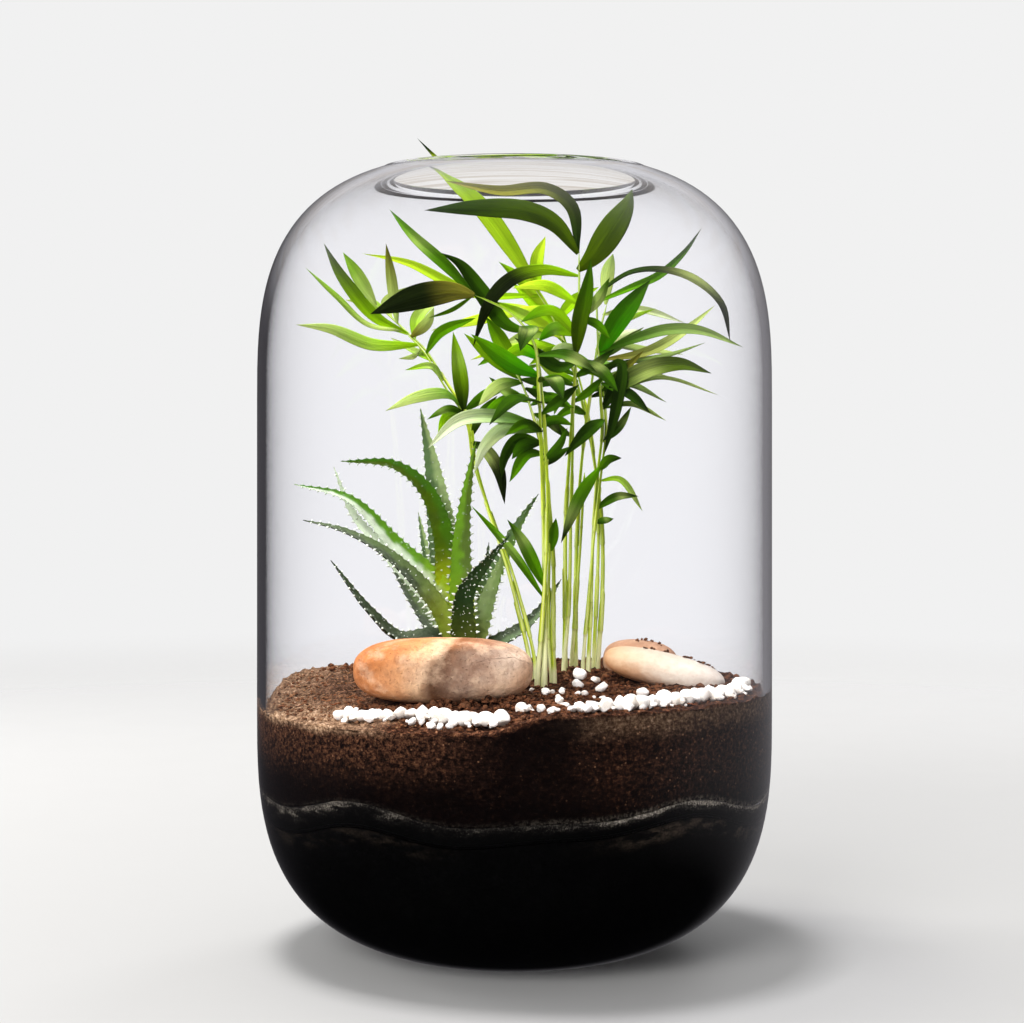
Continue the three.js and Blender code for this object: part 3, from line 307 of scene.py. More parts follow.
# Leaflets: height on the cane, points, width, tilt and the hues of base and tip
LEAFLETS = {
    "palm_main": [
        (244, [(20.2, 259.4, -2), (11.1, 266.4, -4), (-5.1, 265.7, -6), (-24.8, 270, -6)],
         6, 30, "dark", "olive"),
        (243, [(14.2, 253.4, -4), (3.7, 258, -8), (-12.1, 259.1, -10), (-31.8, 258.5, -12)],
         8, 15, "moss", "dark"),
        (237, [(27.6, 241.8, 1), (34.2, 251.6, 3), (39.6, 260.8, 5), (42, 267.6, 6)],
         9.6, 0, "moss", "moss"),
        (235, [(10.7, 236.8, -4), (0.2, 234.1, -11), (-8.6, 225.4, -19.5), (-14.6, 209.5, -20)],
         5.6, 20, "lime", "deep"),
        (207, [(23, 219, -3), (25.5, 230.2, -5), (26.9, 241.1, -7)], 5.8, 0, "moss", "mid"),
        (225, [(10.7, 231, 7), (-0.9, 230.6, 11)], 5, 30, "lime", "glow"),
        (214, [(12.5, 221.8, 2), (1.9, 218.3, -4)], 6, 45, "lime", "green"),
        (204, [(14.9, 202.4, -3), (7.2, 207.4, -8), (-0.2, 213, -9)], 5, 20, "mid", "dark"),
        (205, [(30, 200.7, -4), (36.4, 193.7, -10)], 6, 50, "dark", "mid"),
        (196, [(14.2, 197.7, 4), (5.2, 194, -3)], 5, 45, "mid", "green"),
        (219, [(29.4, 226, -4), (33.5, 234.4, -8)], 4.4, 30, "pale", "mid"),
    ],
    "palm_right": [
        (207, [(35.3, 217.2, 12), (42.7, 227.1, 9), (48, 233.6, 6)], 7.5, 0, "bright", "mid"),
        (226, [(40.6, 230.2, 14), (51.2, 234.8, 13), (60, 243, 9), (66.5, 252.6, 4)],
         4.5, 50, "green", "dark"),
        (229, [(41, 235.9, 8), (52.9, 236.6, 3), (63.5, 233.1, -1), (73, 224.3, -3),
               (76, 211.3, -5)], 5, 55, "dark", "deep"),
        (208, [(41, 211.6, 11), (52.9, 215.1, 8), (65.2, 215.1, 5), (81, 209.5, 2)],
         5.4, 40, "mid", "grey"),
        (205, [(46.6, 207.4, 17), (58.9, 214.1, 20), (71.2, 224.6, 20)], 5, 50, "olive", "pale"),
        (203, [(52.9, 206, 14), (67.7, 211.2, 13)], 3.6, 60, "dark", "grey"),
        (188, [(36.4, 195.1, 8), (46.6, 201.1, 3), (58.2, 203.2, 0), (69.5, 200.2, -2)],
         7.2, 25, "dark", "moss"),
        (192, [(51.2, 198.4, 12), (72.3, 192.6, 11)], 3, 60, "mid", "pale"),
        (201, [(37.4, 203.8, 8), (35.9, 189, 3), (31.5, 171.5, 2)], 4.4, 10, "dark", "dark"),
        (166, [(33.2, 169.8, 10), (37.8, 170.5, 8)], 3.5, 20, "green", "dark"),
        (152, [(36, 156.8, 11), (43.8, 157.1, 9)], 3.2, 20, "mid", "dark"),
        (147, [(35, 149.2, 16)], 2.8, 30, "mid", "mid"),
        (162, [(37.1, 162.7, 14), (45.2, 151.8, 15)], 2.8, 40, "lime", "pale"),
        (167, [(23, 156.8, 4), (16.3, 140.5, 2)], 4.6, 10, "green", "dark"),
        (184, [(26, 180, 2), (17.5, 171, -4)], 5, 25, "mid", "dark"),
        (197, [(40.5, 192.6, 5), (48, 186, 2)], 4.4, 35, "mid", "dark"),
    ],
    "palm_left": [
        (215, [(-48.7, 219.8, 23), (-60.7, 234.1, 17), (-68, 247.4, 12)], 5, 20, "lime", "moss"),
        (216, [(-52.2, 217.4, 19), (-63.1, 227.4, 13), (-74.4, 238.3, 8)], 3.6, 50, "pale", "lime"),
        (223, [(-51.4, 225.2, 33), (-60, 226.6, 36)], 4, 30, "lime", "pale"),
        (211, [(-50.1, 210.2, 16), (-64.9, 215.8, 9), (-77.5, 217.6, 5)], 5, 20, "lime", "pale"),
        (208, [(-26.2, 214.6, 18), (-13.5, 220, 16)], 4, 15, "green", "green"),
        (187, [(-19.3, 200.7, 5), (-21.6, 215.1, 3)], 5.5, 10, "dark", "lime"),
        (189, [(-24.6, 192.6, 7), (-34.3, 191.4, 4), (-45.5, 187, 2)], 5.2, 35, "green", "pale"),
        (226, [(-55.5, 235, 28), (-61, 244, 22)], 5, 20, "pale", "lime"),
        (219, [(-43.4, 233.1, 23), (-45.5, 247.1, 19)], 4, 30, "pale", "olive"),
        (205, [(-36, 208, 36), (-44, 213, 52)], 5, 80, "lime", "pale"),
        (184, [(-23, 185, 9), (-27, 179.4, 6)], 4.4, 20, "green", "lime"),
        (213, [(-33.5, 221, 34), (-24, 228, 42)], 5, 50, "lime", "pale"),
    ],
    "palm_near": [
        (229, [(-20.9, 228.9, -28), (-33.2, 227, -31), (-50.5, 221.1, -33)],
         9, 10, "olive", "deep"),
        (229.3, [(-23.5, 237.6, -27), (-35, 248.2, -25), (-43.8, 258.4, -21)],
         4.4, 25, "mid", "green"),
        (214, [(-3.3, 217.8, -17), (-12, 229.5, -16), (-19, 238.9, -16), (-26.2, 243.2, -17)],
         5.8, 5, "mid", "dark"),
        (199, [(-1, 203.4, -22), (-15.3, 214.1, -26)], 6, 15, "bright", "green"),
        (206, [(17.5, 206.2, -25), (29, 200.5, -32)], 6, 50, "mid", "dark"),
        (190, [(0, 190.4, -28), (-9, 182, -36)], 6, 60, "mid", "dark"),
        (216, [(5, 215, -32), (2, 208, -44)], 6.5, 80, "mid", "dark"),
        (197, [(13, 198, -28), (17, 191, -42)], 6.5, 75, "mid", "dark"),
        (126, [(2.6, 141.6, -13), (-2.6, 149, -14)], 4.6, 10, "green", "mid"),
        (122, [(-0.5, 137.1, -14), (-15.3, 153.9, -17)], 3, 20, "green", "green"),
    ],
    "palm_middle": [
        (189, [(11.7, 191.2, -5), (19.5, 189.5, -8)], 5.4, 50, "mid", "green"),
        (197, [(-5.2, 195.8, -7), (-12.8, 188.7, -10)], 5, 35, "mid", "pale"),
        (182, [(-5.1, 184.6, -9), (-19.2, 183.4, -13), (-30.8, 173.6, -16)],
         6, 35, "green", "shine"),
        (180, [(-3.4, 180.6, -10), (-10.7, 174, -14), (-14.2, 164.8, -16)],
         5, 15, "green", "shine"),
        (176, [(1.5, 177.4, -3), (-3.4, 171, -4), (-4.6, 163, -6)], 4, 5, "mid", "dark"),
        (181, [(14, 183.4, -5), (20.5, 182, -8)], 4.4, 40, "mid", "green"),
        (172, [(4.2, 171.5, -6), (-1.8, 162, -10)], 4, 20, "mid", "green"),
        (138, [(14.6, 149.5, -5)], 3.6, 10, "green", "green"),
        (202, [(-5.4, 206, 0), (-13, 203, 2)], 4.6, 45, "green", "green"),
        (202, [(-4.6, 211, -4), (-10, 220.4, -3)], 5.6, 20, "lime", "green"),
        (192, [(-3.6, 190.2, 2), (-12, 184.6, 3)], 5, 40, "mid", "green"),
    ],
    "palm_rear": [
        (232, [(-1.6, 245.4, 31), (-12.8, 261.2, 22), (-23.4, 271.6, 13), (-34.3, 283, 6)],
         7.4, 20, "glow", "ink"),
        (230, [(-14.2, 228.4, 39), (-37.8, 239.7, 34), (-54.3, 243.6, 30)],
         4.8, 35, "lime", "glow"),
        (226, [(-8.6, 219.7, 44), (-29.7, 215.5, 48)], 5.6, 40, "glow", "glow"),
        (220, [(21.3, 226, 46), (30, 231.3, 52)], 5, 40, "lime", "lime"),
        (217, [(5, 222, 54), (-10, 226, 68)], 6, 65, "glow", "lime"),
        (209, [(1.9, 210.2, 46), (-15.6, 205, 50)], 5.6, 45, "lime", "glow"),
        (204, [(19, 206, 55), (20, 202, 72)], 6, 80, "green", "lime"),
        (192, [(18, 193.7, 48), (14, 185.6, 62)], 5.4, 60, "lime", "green"),
        (232, [(8, 241, 43), (11, 250, 48)], 5, 30, "lime", "glow"),
        (214, [(4, 220, 36), (-7, 226, 31)], 5.6, 30, "glow", "lime"),
        (212, [(10, 222, 47), (-1, 233, 54)], 6, 30, "lime", "lime"),
        (200, [(9, 203, 52), (0, 198, 64)], 6, 75, "green", "lime"),
    ],
    "palm_rear_right": [
        (222, [(44.1, 222.5, 32), (60.5, 218.3, 37)], 5, 50, "pale", "shine"),
        (212, [(44, 208.4, 33), (60, 207, 41)], 5.6, 55, "grey", "pale"),
        (226, [(33, 236, 31), (35, 243.5, 40)], 5, 40, "pale", "grey"),
        (201, [(34, 204, 38), (33, 200, 56)], 6, 80, "green", "grey"),
        (209, [(39, 214, 40), (45, 216, 56)], 5.6, 70, "pale", "shine"),
        (194, [(40, 196, 30), (54, 190, 38)], 4.6, 50, "mid", "grey"),
    ],
}

# Fine leaflets between the large ones
FINE_LEAFLETS = {
    "palm_main": [
        (214, [(14, 216, 8), (8.4, 211.6, 10)], 5, 5, "lime", "bright"),
        (210, [(15.8, 208, 4), (12.4, 201.8, 2)], 4.8, 5, "grey", "shine"),
        (220, [(28.6, 217.8, 1), (33.8, 212.2, -2)], 3.2, 10, "mid", "green"),
        (199, [(28.4, 203.2, 4), (35.2, 209, 2)], 3.6, 10, "mid", "dark"),
        (190, [(26.4, 194, 6), (31.8, 199.6, 4)], 3, 10, "green", "mid"),
        (178, [(14.6, 181.6, 7), (9.6, 187, 6)], 3, 10, "mid", "green"),
    ],
    "palm_right": [
        (214, [(38.6, 218.8, 16), (50, 223.4, 20)], 2.4, 30, "pale", "lime"),
        (199, [(41.5, 200.8, 18), (54.6, 199.2, 22)], 2.6, 25, "grey", "pale"),
        (194, [(37.8, 200.6, 10), (45.6, 208.4, 8)], 3, 15, "mid", "olive"),
        (188, [(41.4, 189.4, 15), (53.6, 183.6, 16)], 2.2, 20, "mid", "pale"),
        (176, [(36.8, 181.4, 10), (41.2, 188.6, 8)], 3, 5, "dark", "mid"),
        (199, [(23.4, 204.8, 10), (17, 209.6, 8)], 3.6, 10, "green", "bright"),
    ],
    "palm_left": [
        (187, [(-8.1, 193.6, 10), (0.9, 196.5, 8)], 4, 15, "mid", "green"),
        (214, [(-31, 218, 22), (-28.4, 223.8, 20)], 4.2, 5, "olive", "pale"),
        (210, [(-35.5, 206.2, 30), (-41, 205.4, 32)], 2.6, 20, "pale", "pale"),
        (186, [(-23.5, 187.5, 6), (-30.8, 184, 2)], 3.2, 25, "dark", "green"),
        (198, [(-29.4, 202.6, 13), (-38.6, 201.4, 10)], 2.8, 25, "pale", "lime"),
        (221, [(-45.5, 226, 36), (-37.5, 231.4, 42)], 3.2, 15, "pale", "pale"),
        (178, [(-11.6, 186, 12), (-6, 192.4, 12)], 3.4, 8, "dark", "mid"),
        (176, [(-9.4, 172.6, 3), (-5.3, 165.6, 0), (-3.4, 154.2, -3)], 4.6, 5, "dark", "deep"),
    ],
    "palm_near": [
        (227.5, [(-22, 222.6, -22), (-30.4, 219.7, -20)], 1.6, 10, "green", "green"),
        (205, [(2.8, 208.4, -15), (-4.4, 206, -12)], 4.6, 15, "bright", "lime"),
        (186, [(16, 190.8, -20), (22.8, 196.4, -24)], 3.8, 10, "mid", "dark"),
        (180, [(3.5, 182.2, -20), (-3.4, 178.4, -24)], 3.8, 20, "dark", "green"),
        (170, [(15.6, 175, -16), (18.6, 181.2, -18)], 3, 5, "mid", "mid"),
    ],
    "palm_middle": [
        (198, [(-6.9, 205, -2), (-17.8, 214.4, 0)], 4.6, 10, "green", "lime"),
        (198, [(8.5, 197, -6), (17.7, 196.8, -10)], 4, 30, "dark", "mid"),
        (195, [(10.7, 191.6, -4), (21.2, 188, -8)], 4.2, 20, "dark", "green"),
        (181.5, [(-5, 183.7, -8), (-12.1, 186.6, -10)], 4.4, 30, "shine", "pale"),
        (176, [(3, 174.5, -5), (-1, 170, -7)], 4.6, 25, "dark", "mid"),
        (190, [(-3, 194, 3), (-9, 199, 6)], 3.6, 5, "green", "mid"),
        (186, [(11.5, 184, -3), (17, 178, -6)], 3.6, 10, "mid", "dark"),
        (168, [(15.4, 171.6, -5), (19.8, 174.6, -7)], 2.8, 5, "dark", "mid"),
    ],
    "palm_rear": [
        (224, [(2.4, 233.6, 38), (-5.6, 240.4, 34)], 4.6, 10, "glow", "lime"),
        (216, [(6.4, 214.2, 36), (-4.6, 210.4, 34)], 4.6, 15, "lime", "pale"),
        (206, [(13.4, 207.6, 34), (5, 203.2, 30)], 4.4, 20, "green", "lime"),
        (198, [(14, 200.2, 32), (6.8, 206.6, 30)], 3.6, 10, "lime", "glow"),
        (186, [(19.6, 187.4, 28), (13, 183.2, 26)], 3.4, 15, "mid", "green"),
    ],
    "palm_rear_right": [
        (205, [(37.4, 210.4, 26), (45.8, 216.8, 28)], 3.4, 15, "mid", "grey"),
        (200, [(21, 205.6, 22), (16.4, 212.6, 22)], 3.4, 10, "lime", "green"),
        (192, [(34.6, 194.6, 24), (43, 199.4, 26)], 3, 15, "dark", "grey"),
    ],
}


def amount(full):
    return full


def lerp(a, b, share):
    return a + (b - a) * share


def smoothstep(value, low, high):
    share = min(1, max(0, (value - low) / (high - low)))
    return share * share * (3 - 2 * share)


def linear(colour):
    """A colour of 0 to 255 as light."""
    return tuple(
        (c / 255 / 12.92) if c / 255 <= 0.04045 else ((c / 255 + 0.055) / 1.055) ** 2.4
        for c in colour
    )


def hue(name):
    """A hue as light, and how much light passes through it."""
    colour, glow = HUES[name]
    return (*linear(colour), glow)


def tint_of(low, high, share):
    """The tint between two hues."""
    return tuple(lerp(a, b, share) for a, b in zip(hue(low), hue(high)))


def seen(point):
    """A point as the eye sees it: x and z on the plane through the jar's axis, and the depth."""
    x, z, y = point
    scale = 1 + y / EYE_DISTANCE
    return Vector((x * scale, y, EYE_HEIGHT + (z - EYE_HEIGHT) * scale))


def random_row(purpose):
    """The same row of random numbers each time, between 0 and 1."""
    state = SEEDS[purpose]

    def draw():
        nonlocal state
        state = (state * 1664525 + 1013904223) % 2**32
        return state / 2**32

    return draw


def pick(items, random):
    """One of the items, by chance."""
    return items[int(random() * len(items))]


def between(points, x):
    """A smooth value at x between (x, value) pairs."""
    if x <= points[0][0]:
        return points[0][1]
    for i in range(1, len(points)):
        x1, y1 = points[i]
        if x <= x1:
            x0, y0 = points[i - 1]
            xa, ya = points[max(0, i - 2)]
            xb, yb = points[min(len(points) - 1, i + 1)]
            width = x1 - x0
            slope0 = (y1 - ya) / (x1 - xa) * width
            slope1 = (yb - y0) / (xb - x0) * width
            t = (x - x0) / width
            return (
                y0
                + slope0 * t
                + (3 * (y1 - y0) - 2 * slope0 - slope1) * t * t
                + (2 * (y0 - y1) + slope0 + slope1) * t**3
            )
    return points[-1][1]


class Route:
    """A smooth line through points, measured along its length."""

    STEPS = 200

    def __init__(self, points):
        line = []
        last = len(points) - 1
        for i in range(self.STEPS + 1):
            place = last * i / self.STEPS
            k = min(int(place), last - 1)
            line.append(self.between(points, k, place - k))
        self.line = line
        self.lengths = [0]
        for a, b in zip(line, line[1:]):
            self.lengths.append(self.lengths[-1] + (b - a).length)
        self.length = self.lengths[-1]

    @staticmethod
    def between(points, k, t):
        p1, p2 = points[k], points[k + 1]
        p0 = points[k - 1] if k > 0 else 2 * p1 - p2
        p3 = points[k + 2] if k + 2 < len(points) else 2 * p2 - p1
        d0, d1, d2 = ((b - a).length ** 0.5 for a, b in ((p0, p1), (p1, p2), (p2, p3)))
        t1 = ((p1 - p0) / d0 - (p2 - p0) / (d0 + d1) + (p2 - p1) / d1) * d1
        t2 = ((p2 - p1) / d1 - (p3 - p1) / (d1 + d2) + (p3 - p2) / d2) * d1
        c2 = 3 * (p2 - p1) - 2 * t1 - t2
        c3 = 2 * (p1 - p2) + t1 + t2
        return p1 + t1 * t + c2 * t**2 + c3 * t**3

    def place(self, share):
        """The index before a share of the length, and how far on from it."""
        goal = min(1, max(0, share)) * self.length
        low, high = 0, self.STEPS
        while high - low > 1:
            middle = (low + high) // 2
            if self.lengths[middle] <= goal:
                low = middle
            else:
                high = middle
        step = self.lengths[low + 1] - self.lengths[low]
        return low, (goal - self.lengths[low]) / step if step else 0

    def point(self, share):
        k, t = self.place(share)
        return self.line[k].lerp(self.line[k + 1], t)

    def tangent(self, share):
        k, t = self.place(share)
        before = self.line[max(0, k - 1)]
        here, after = self.line[k], self.line[k + 1]
        beyond = self.line[min(self.STEPS, k + 2)]
        onwards = (here - before).lerp(after - here, 0.5 + t / 2)
        return onwards.lerp(beyond - after, t / 3).normalized()

    def at_height(self, height):
        """The share of the length at which a rising line reaches a height."""
        low, high = 0, 1
        for _ in range(24):
            middle = (low + high) / 2
            if self.point(middle).z < height:
                low = middle
            else:
                high = middle
        return low


def frame_at(tangent, facing):
    """Directions across and up for a piece that runs along tangent and faces the way of facing."""
    across = facing.cross(tangent).normalized()
    return across, tangent.cross(across).normalized()


def facing_of(tilt):
    """The way a leaf faces: 0 is to the front and 90 is up."""
    return Vector((0, -math.cos(math.radians(tilt)), math.sin(math.radians(tilt))))


def tube_ends(tangent):
    """Directions across an upright tube."""
    up = tangent.cross(Vector((1, 0, 0))).normalized()
    return up.cross(tangent).normalized(), up


def spoke(across, up, angle):
    """The direction at an angle round a tube."""
    return across * math.cos(angle) + up * math.sin(angle)


class Form:
    """A mesh in the making, in millimetres, with a tint and a leaf place at each corner."""

    MERGE_DISTANCE = 0.002

    def __init__(self):
        self.bm = bmesh.new()
        self.tint = self.bm.verts.layers.float_color.new("tint")
        self.leaf = self.bm.verts.layers.float_vector.new("leaf")

    def skin(self, steps, sides, ring, slot=0):
        """A closed tube or blade. ring gives, for a share along, what gives the point, tint and
        leaf place at a share around it."""
        grid = bmesh.ops.create_grid(self.bm, x_segments=steps, y_segments=sides, size=0.5)["verts"]
        rings = {}
        for vert in grid:
            step = round((vert.co.x + 0.5) * steps)
            if step not in rings:
                rings[step] = ring(step / steps)
            point, tint, leaf = rings[step](vert.co.y + 0.5)
            vert.co = point
            vert[self.tint] = tint
            vert[self.leaf] = leaf
        faces = {face for vert in grid for face in vert.link_faces}
        for face in faces:
            face.material_index = slot
        bmesh.ops.remove_doubles(self.bm, verts=grid, dist=self.MERGE_DISTANCE)
        self.finish([face for face in faces if face.is_valid])

    def take_in(self, other):
        """Adds the shapes of another form, which is used up."""
        mesh = bpy.data.meshes.new("part")
        other.bm.to_mesh(mesh)
        other.bm.free()
        self.bm.from_mesh(mesh)
        bpy.data.meshes.remove(mesh)
        self.tint = self.bm.verts.layers.float_color["tint"]
        self.leaf = self.bm.verts.layers.float_vector["leaf"]

    def finish(self, faces):
        bmesh.ops.recalc_face_normals(self.bm, faces=faces)
        for face in faces:
            face.smooth = True

    def stamp(self, verts, tint, slot=0, smooth=True):
        """Gives the corners and faces of one shape their tint and material."""
        faces = {face for vert in verts for face in vert.link_faces}
        for vert in verts:
            vert[self.tint] = tint
        for face in faces:
            face.material_index = slot
            face.smooth = smooth
        return faces

    def piece(self, name, materials, slot, *nodes):
        """The form as a finished object that takes the place of CAD nodes."""
        bmesh.ops.scale(self.bm, vec=(METRES, METRES, METRES), verts=self.bm.verts)
        mesh = bpy.data.meshes.new(name)
        self.bm.to_mesh(mesh)
        self.bm.free()
        for material in materials:
            mesh.materials.append(material)
        thing = bpy.data.objects.new(name, mesh)
        bpy.context.scene.collection.objects.link(thing)
        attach(thing, "root")
        if nodes:
            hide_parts(*nodes)
        return thing


class Value:
    """A number or colour that changes over a surface, with arithmetic that adds Math nodes."""

    def __init__(self, paint, socket):
        self.paint = paint
        self.socket = socket

    def join(self, operation, *values):
        return self.paint.value("Math", {"operation": operation}, dict(enumerate(values)))

    def __add__(self, other):
        return self.join("ADD", self, other)

    def __sub__(self, other):
        return self.join("SUBTRACT", self, other)

    def __rsub__(self, other):
        return self.join("SUBTRACT", other, self)

    def __mul__(self, other):
        return self.join("MULTIPLY", self, other)

    def __truediv__(self, other):
        return self.join("DIVIDE", self, other)

    def __pow__(self, other):
        return self.join("POWER", self, other)

    __radd__ = __add__
    __rmul__ = __mul__

    def sine(self):
        return self.join("SINE", self)

    def absolute(self):
        return self.join("ABSOLUTE", self)

    def most(self, other):
        return self.join("MAXIMUM", self, other)

    def clamped(self):
        return self.paint.value("Clamp", {}, {0: self})

    def rise(self, low, high):
        """0 below low, 1 above high and smooth between."""
        return self.paint.value(
            "MapRange", {"interpolation_type": "SMOOTHSTEP"}, {0: self, 1: low, 2: high}
        )


class Paint:
    """The nodes of one material or of the studio's light."""

    def __init__(self, owner):
        owner.use_nodes = True
        self.owner = owner
        self.tree = owner.node_tree
        self.tree.nodes.clear()

    def node(self, kind, settings, inputs):
        node = self.tree.nodes.new("ShaderNode" + kind)
        for name, setting in settings.items():
            if name == "stops":
                ramp = node.color_ramp.elements
                while len(ramp) < len(setting):
                    ramp.new(0)
                for stop, (position, colour) in zip(ramp, setting):
                    stop.position = position
                    stop.color = (*linear(colour), 1)
            else:
                setattr(node, name, setting)
        for name, value in inputs.items():
            socket = node.inputs[name]
            if isinstance(value, Value):
                self.tree.links.new(value.socket, socket)
            else:
                socket.default_value = value
        return node

    def value(self, kind, settings, inputs, output=0):
        return Value(self, self.node(kind, settings, inputs).outputs[output])

    def place(self):
        """The place on the object, in metres."""
        return self.value("TexCoord", {}, {}, "Object")

    def parts(self, vector):
        node = self.node("SeparateXYZ", {}, {0: vector})
        return [Value(self, socket) for socket in node.outputs]

    def attribute(self, name, output):
        return self.value("Attribute", {"attribute_name": name}, {}, output)

    def axes(self):
        """The place on the object as x, y and z."""
        return self.parts(self.place())

    def leaf(self):
        """The three parts of the leaf place."""
        return self.parts(self.attribute("leaf", "Vector"))

    def bent_place(self, reach):
        """The place on the object, bent by a slow noise, in metres."""
        bend = self.value("TexNoise", {}, {"Vector": self.place(), "Scale": 60.0}, "Color")
        inputs = {0: bend, 1: (reach, reach, reach), 2: self.place()}
        return self.value("VectorMath", {"operation": "MULTIPLY_ADD"}, inputs)

    def noise(self, scale, detail=3, roughness=0.55, where=None, stretch=None):
        where = where or self.place()
        if stretch:
            where = self.value("Mapping", {}, {"Vector": where, "Scale": stretch})
        inputs = {"Vector": where, "Scale": scale, "Detail": detail, "Roughness": roughness}
        return self.value("TexNoise", {}, inputs)

    def cells(self, scale, feature="F1", where=None):
        inputs = {"Vector": where or self.place(), "Scale": scale}
        return self.value("TexVoronoi", {"feature": feature}, inputs, "Distance")

    def ramp(self, value, *stops):
        return self.value("ValToRGB", {"stops": stops}, {0: value})

    def blend(self, share, low, high, blend_type="MIX"):
        """The colour low, going over to high as share goes from 0 to 1."""
        settings = {"data_type": "RGBA", "blend_type": blend_type}
        colours = [c if isinstance(c, Value) else (*linear(c), 1) for c in (low, high)]
        return self.value("Mix", settings, {0: share, 6: colours[0], 7: colours[1]}, 2)

    def bump(self, height, depth):
        """A bump of the given depth in millimetres where height is 1."""
        return self.value("Bump", {}, {"Height": height, "Distance": depth * METRES})

    def surface(self, color, roughness, normal=None, **more):
        """A surface. The names of other inputs have _ for each space."""
        inputs = {"Base Color": color, "Roughness": roughness}
        if normal:
            inputs["Normal"] = normal
        inputs.update({name.replace("_", " "): value for name, value in more.items()})
        return self.value("BsdfPrincipled", {}, inputs)

    def output(self, shader):
        self.node("OutputMaterial", {}, {"Surface": shader})
        return self.owner

    def finish(self, color, roughness, normal, **more):
        return self.output(self.surface(color, roughness, normal, **more))

    def lit_through(self, skin, colour, share):
        """A leaf's material: its skin, and light of a colour that comes through it."""
        inner = self.value("BsdfTranslucent", {}, {"Color": (*linear(colour), 1)})
        glow = self.attribute("tint", "Alpha") * share
        return self.output(self.value("MixShader", {}, {0: glow, 1: skin, 2: inner}))


def new_paint(name):
    return Paint(bpy.data.materials.new(name))


def blade_paint():
    """A leaflet that light passes through, with fine veins along it and a tint of its own."""
    veins, vein_depth = 7, 0.18
    paint = new_paint("palm_blade")
    tint = paint.attribute("tint", "Color")
    along, across, random = paint.leaf()
    where = paint.value("CombineXYZ", {}, {0: along * 2, 1: across * 3, 2: random * 9})
    cloud = paint.noise(2.2, 4, 0.6, where)
    fibre = paint.noise(6, 3, 0.6, where, (0.6, 9, 1))
    vein = ((across * (veins * math.pi)).sine() * 0.5 + 0.5) ** 3
    midrib = 1 - across.absolute().rise(0.0, 0.1)
    light = paint.blend(cloud.rise(0.35, 0.75) * 0.45, tint, (255, 255, 190), "SOFT_LIGHT")
    shade = paint.blend((1 - cloud.rise(0.2, 0.55)) * 0.35, light, (40, 60, 24), "MULTIPLY")
    lines = vein * 0.06 + fibre * 0.1 + midrib * 0.2
    lined = paint.blend(lines, shade, (190, 210, 120), "SOFT_LIGHT")
    normal = paint.bump(vein * 0.4 + fibre * 0.4 - midrib * 0.8, vein_depth)
    skin = paint.surface(lined, fibre * 0.25 + 0.3, normal, Specular_IOR_Level=0.06)
    return paint.lit_through(skin, (176, 214, 52), 0.62)


def cane_paint():
    """Yellow green, with fine streaks, bands of painted highlight and painted shade that wind up
    the cane, and a brown ring at each node.
    """
    paint = new_paint("palm_cane")
    tint = paint.attribute("tint", "Color")
    along, across, ring = paint.leaf()
    streak = paint.noise(700, 3, 0.6, None, (1, 1, 0.09))
    striped = paint.blend(streak.rise(0.35, 0.7) * 0.7, tint, (250, 252, 190), "SOFT_LIGHT")
    # Bands of painted highlight and painted shade wind round the cane: pale where low, dark where
    # high
    light_and_shade_band = (across * (4 * math.pi) + along * 9).sine()
    bright = paint.blend((light_and_shade_band * -1).rise(0.3, 0.95) * 0.6, striped, (250, 252, 186))
    # Darker along fine streaks, and painted shade where the band is high, less of it at the foot
    shaded = (1 - streak.rise(0.3, 0.5)) * 0.2 + light_and_shade_band.rise(-0.2, 0.9) * 0.55
    above_foot = along.rise(-0.02, 0.14) * 0.7 + 0.3
    dark = paint.blend((shaded * above_foot).clamped(), bright, (78, 104, 8))
    ringed = paint.blend(ring * 0.5, dark, (120, 100, 50))
    normal = paint.bump(streak - ring * 0.5, 0.15)
    skin = paint.surface(ringed, streak * 0.2 + 0.25, normal, Specular_IOR_Level=0.6)
    return paint.lit_through(skin, (214, 236, 110), 0.75)


def aloe_paint():
    """Flesh of its own tint, mottled and spotted, with a pale bloom and a painted highlight on
    its upper side.
    """
    paint = new_paint("aloe_flesh")
    tint = paint.attribute("tint", "Color")
    along = paint.leaf()[0]
    upwards = paint.parts(paint.value("NewGeometry", {}, {}, "Normal"))[2]
    cloud = paint.noise(190, 4)
    grain = paint.noise(900, 3)
    spot = (1 - paint.cells(420).rise(0.1, 0.28)) * paint.noise(260, 1).rise(0.52, 0.6)
    mottled = paint.blend(cloud.rise(0.35, 0.7) * 0.5, tint, (176, 196, 170), "SOFT_LIGHT")
    dark = paint.blend((1 - cloud.rise(0.3, 0.55)) * 0.25, mottled, (30, 52, 32))
    # Pale bloom and painted highlight where the surface faces up, away from the leaf's foot
    bloom_and_highlight = upwards.rise(0.15, 0.85) * along.rise(0.08, 0.35) * (0.35 + grain.rise(0.3, 0.6) * 0.5)
    bloomed_and_lit = paint.blend(bloom_and_highlight * 0.14, dark, (212, 226, 190))
    spotted = paint.blend(spot * 0.3, bloomed_and_lit, (206, 220, 200))
    normal = paint.bump(grain * 0.4 + spot, 0.3)
    skin = paint.surface(spotted, cloud * 0.2 + 0.34, normal, Specular_IOR_Level=0.2)
    return paint.lit_through(skin, (172, 206, 110), 0.7)


def tooth_paint():
    paint = new_paint("aloe_tooth")
    grain = paint.noise(700, 2)
    color = paint.blend(grain * 0.3, paint.attribute("tint", "Color"), (250, 252, 244))
    return paint.finish(color, grain * 0.2 + 0.4, paint.bump(grain, 0.1))


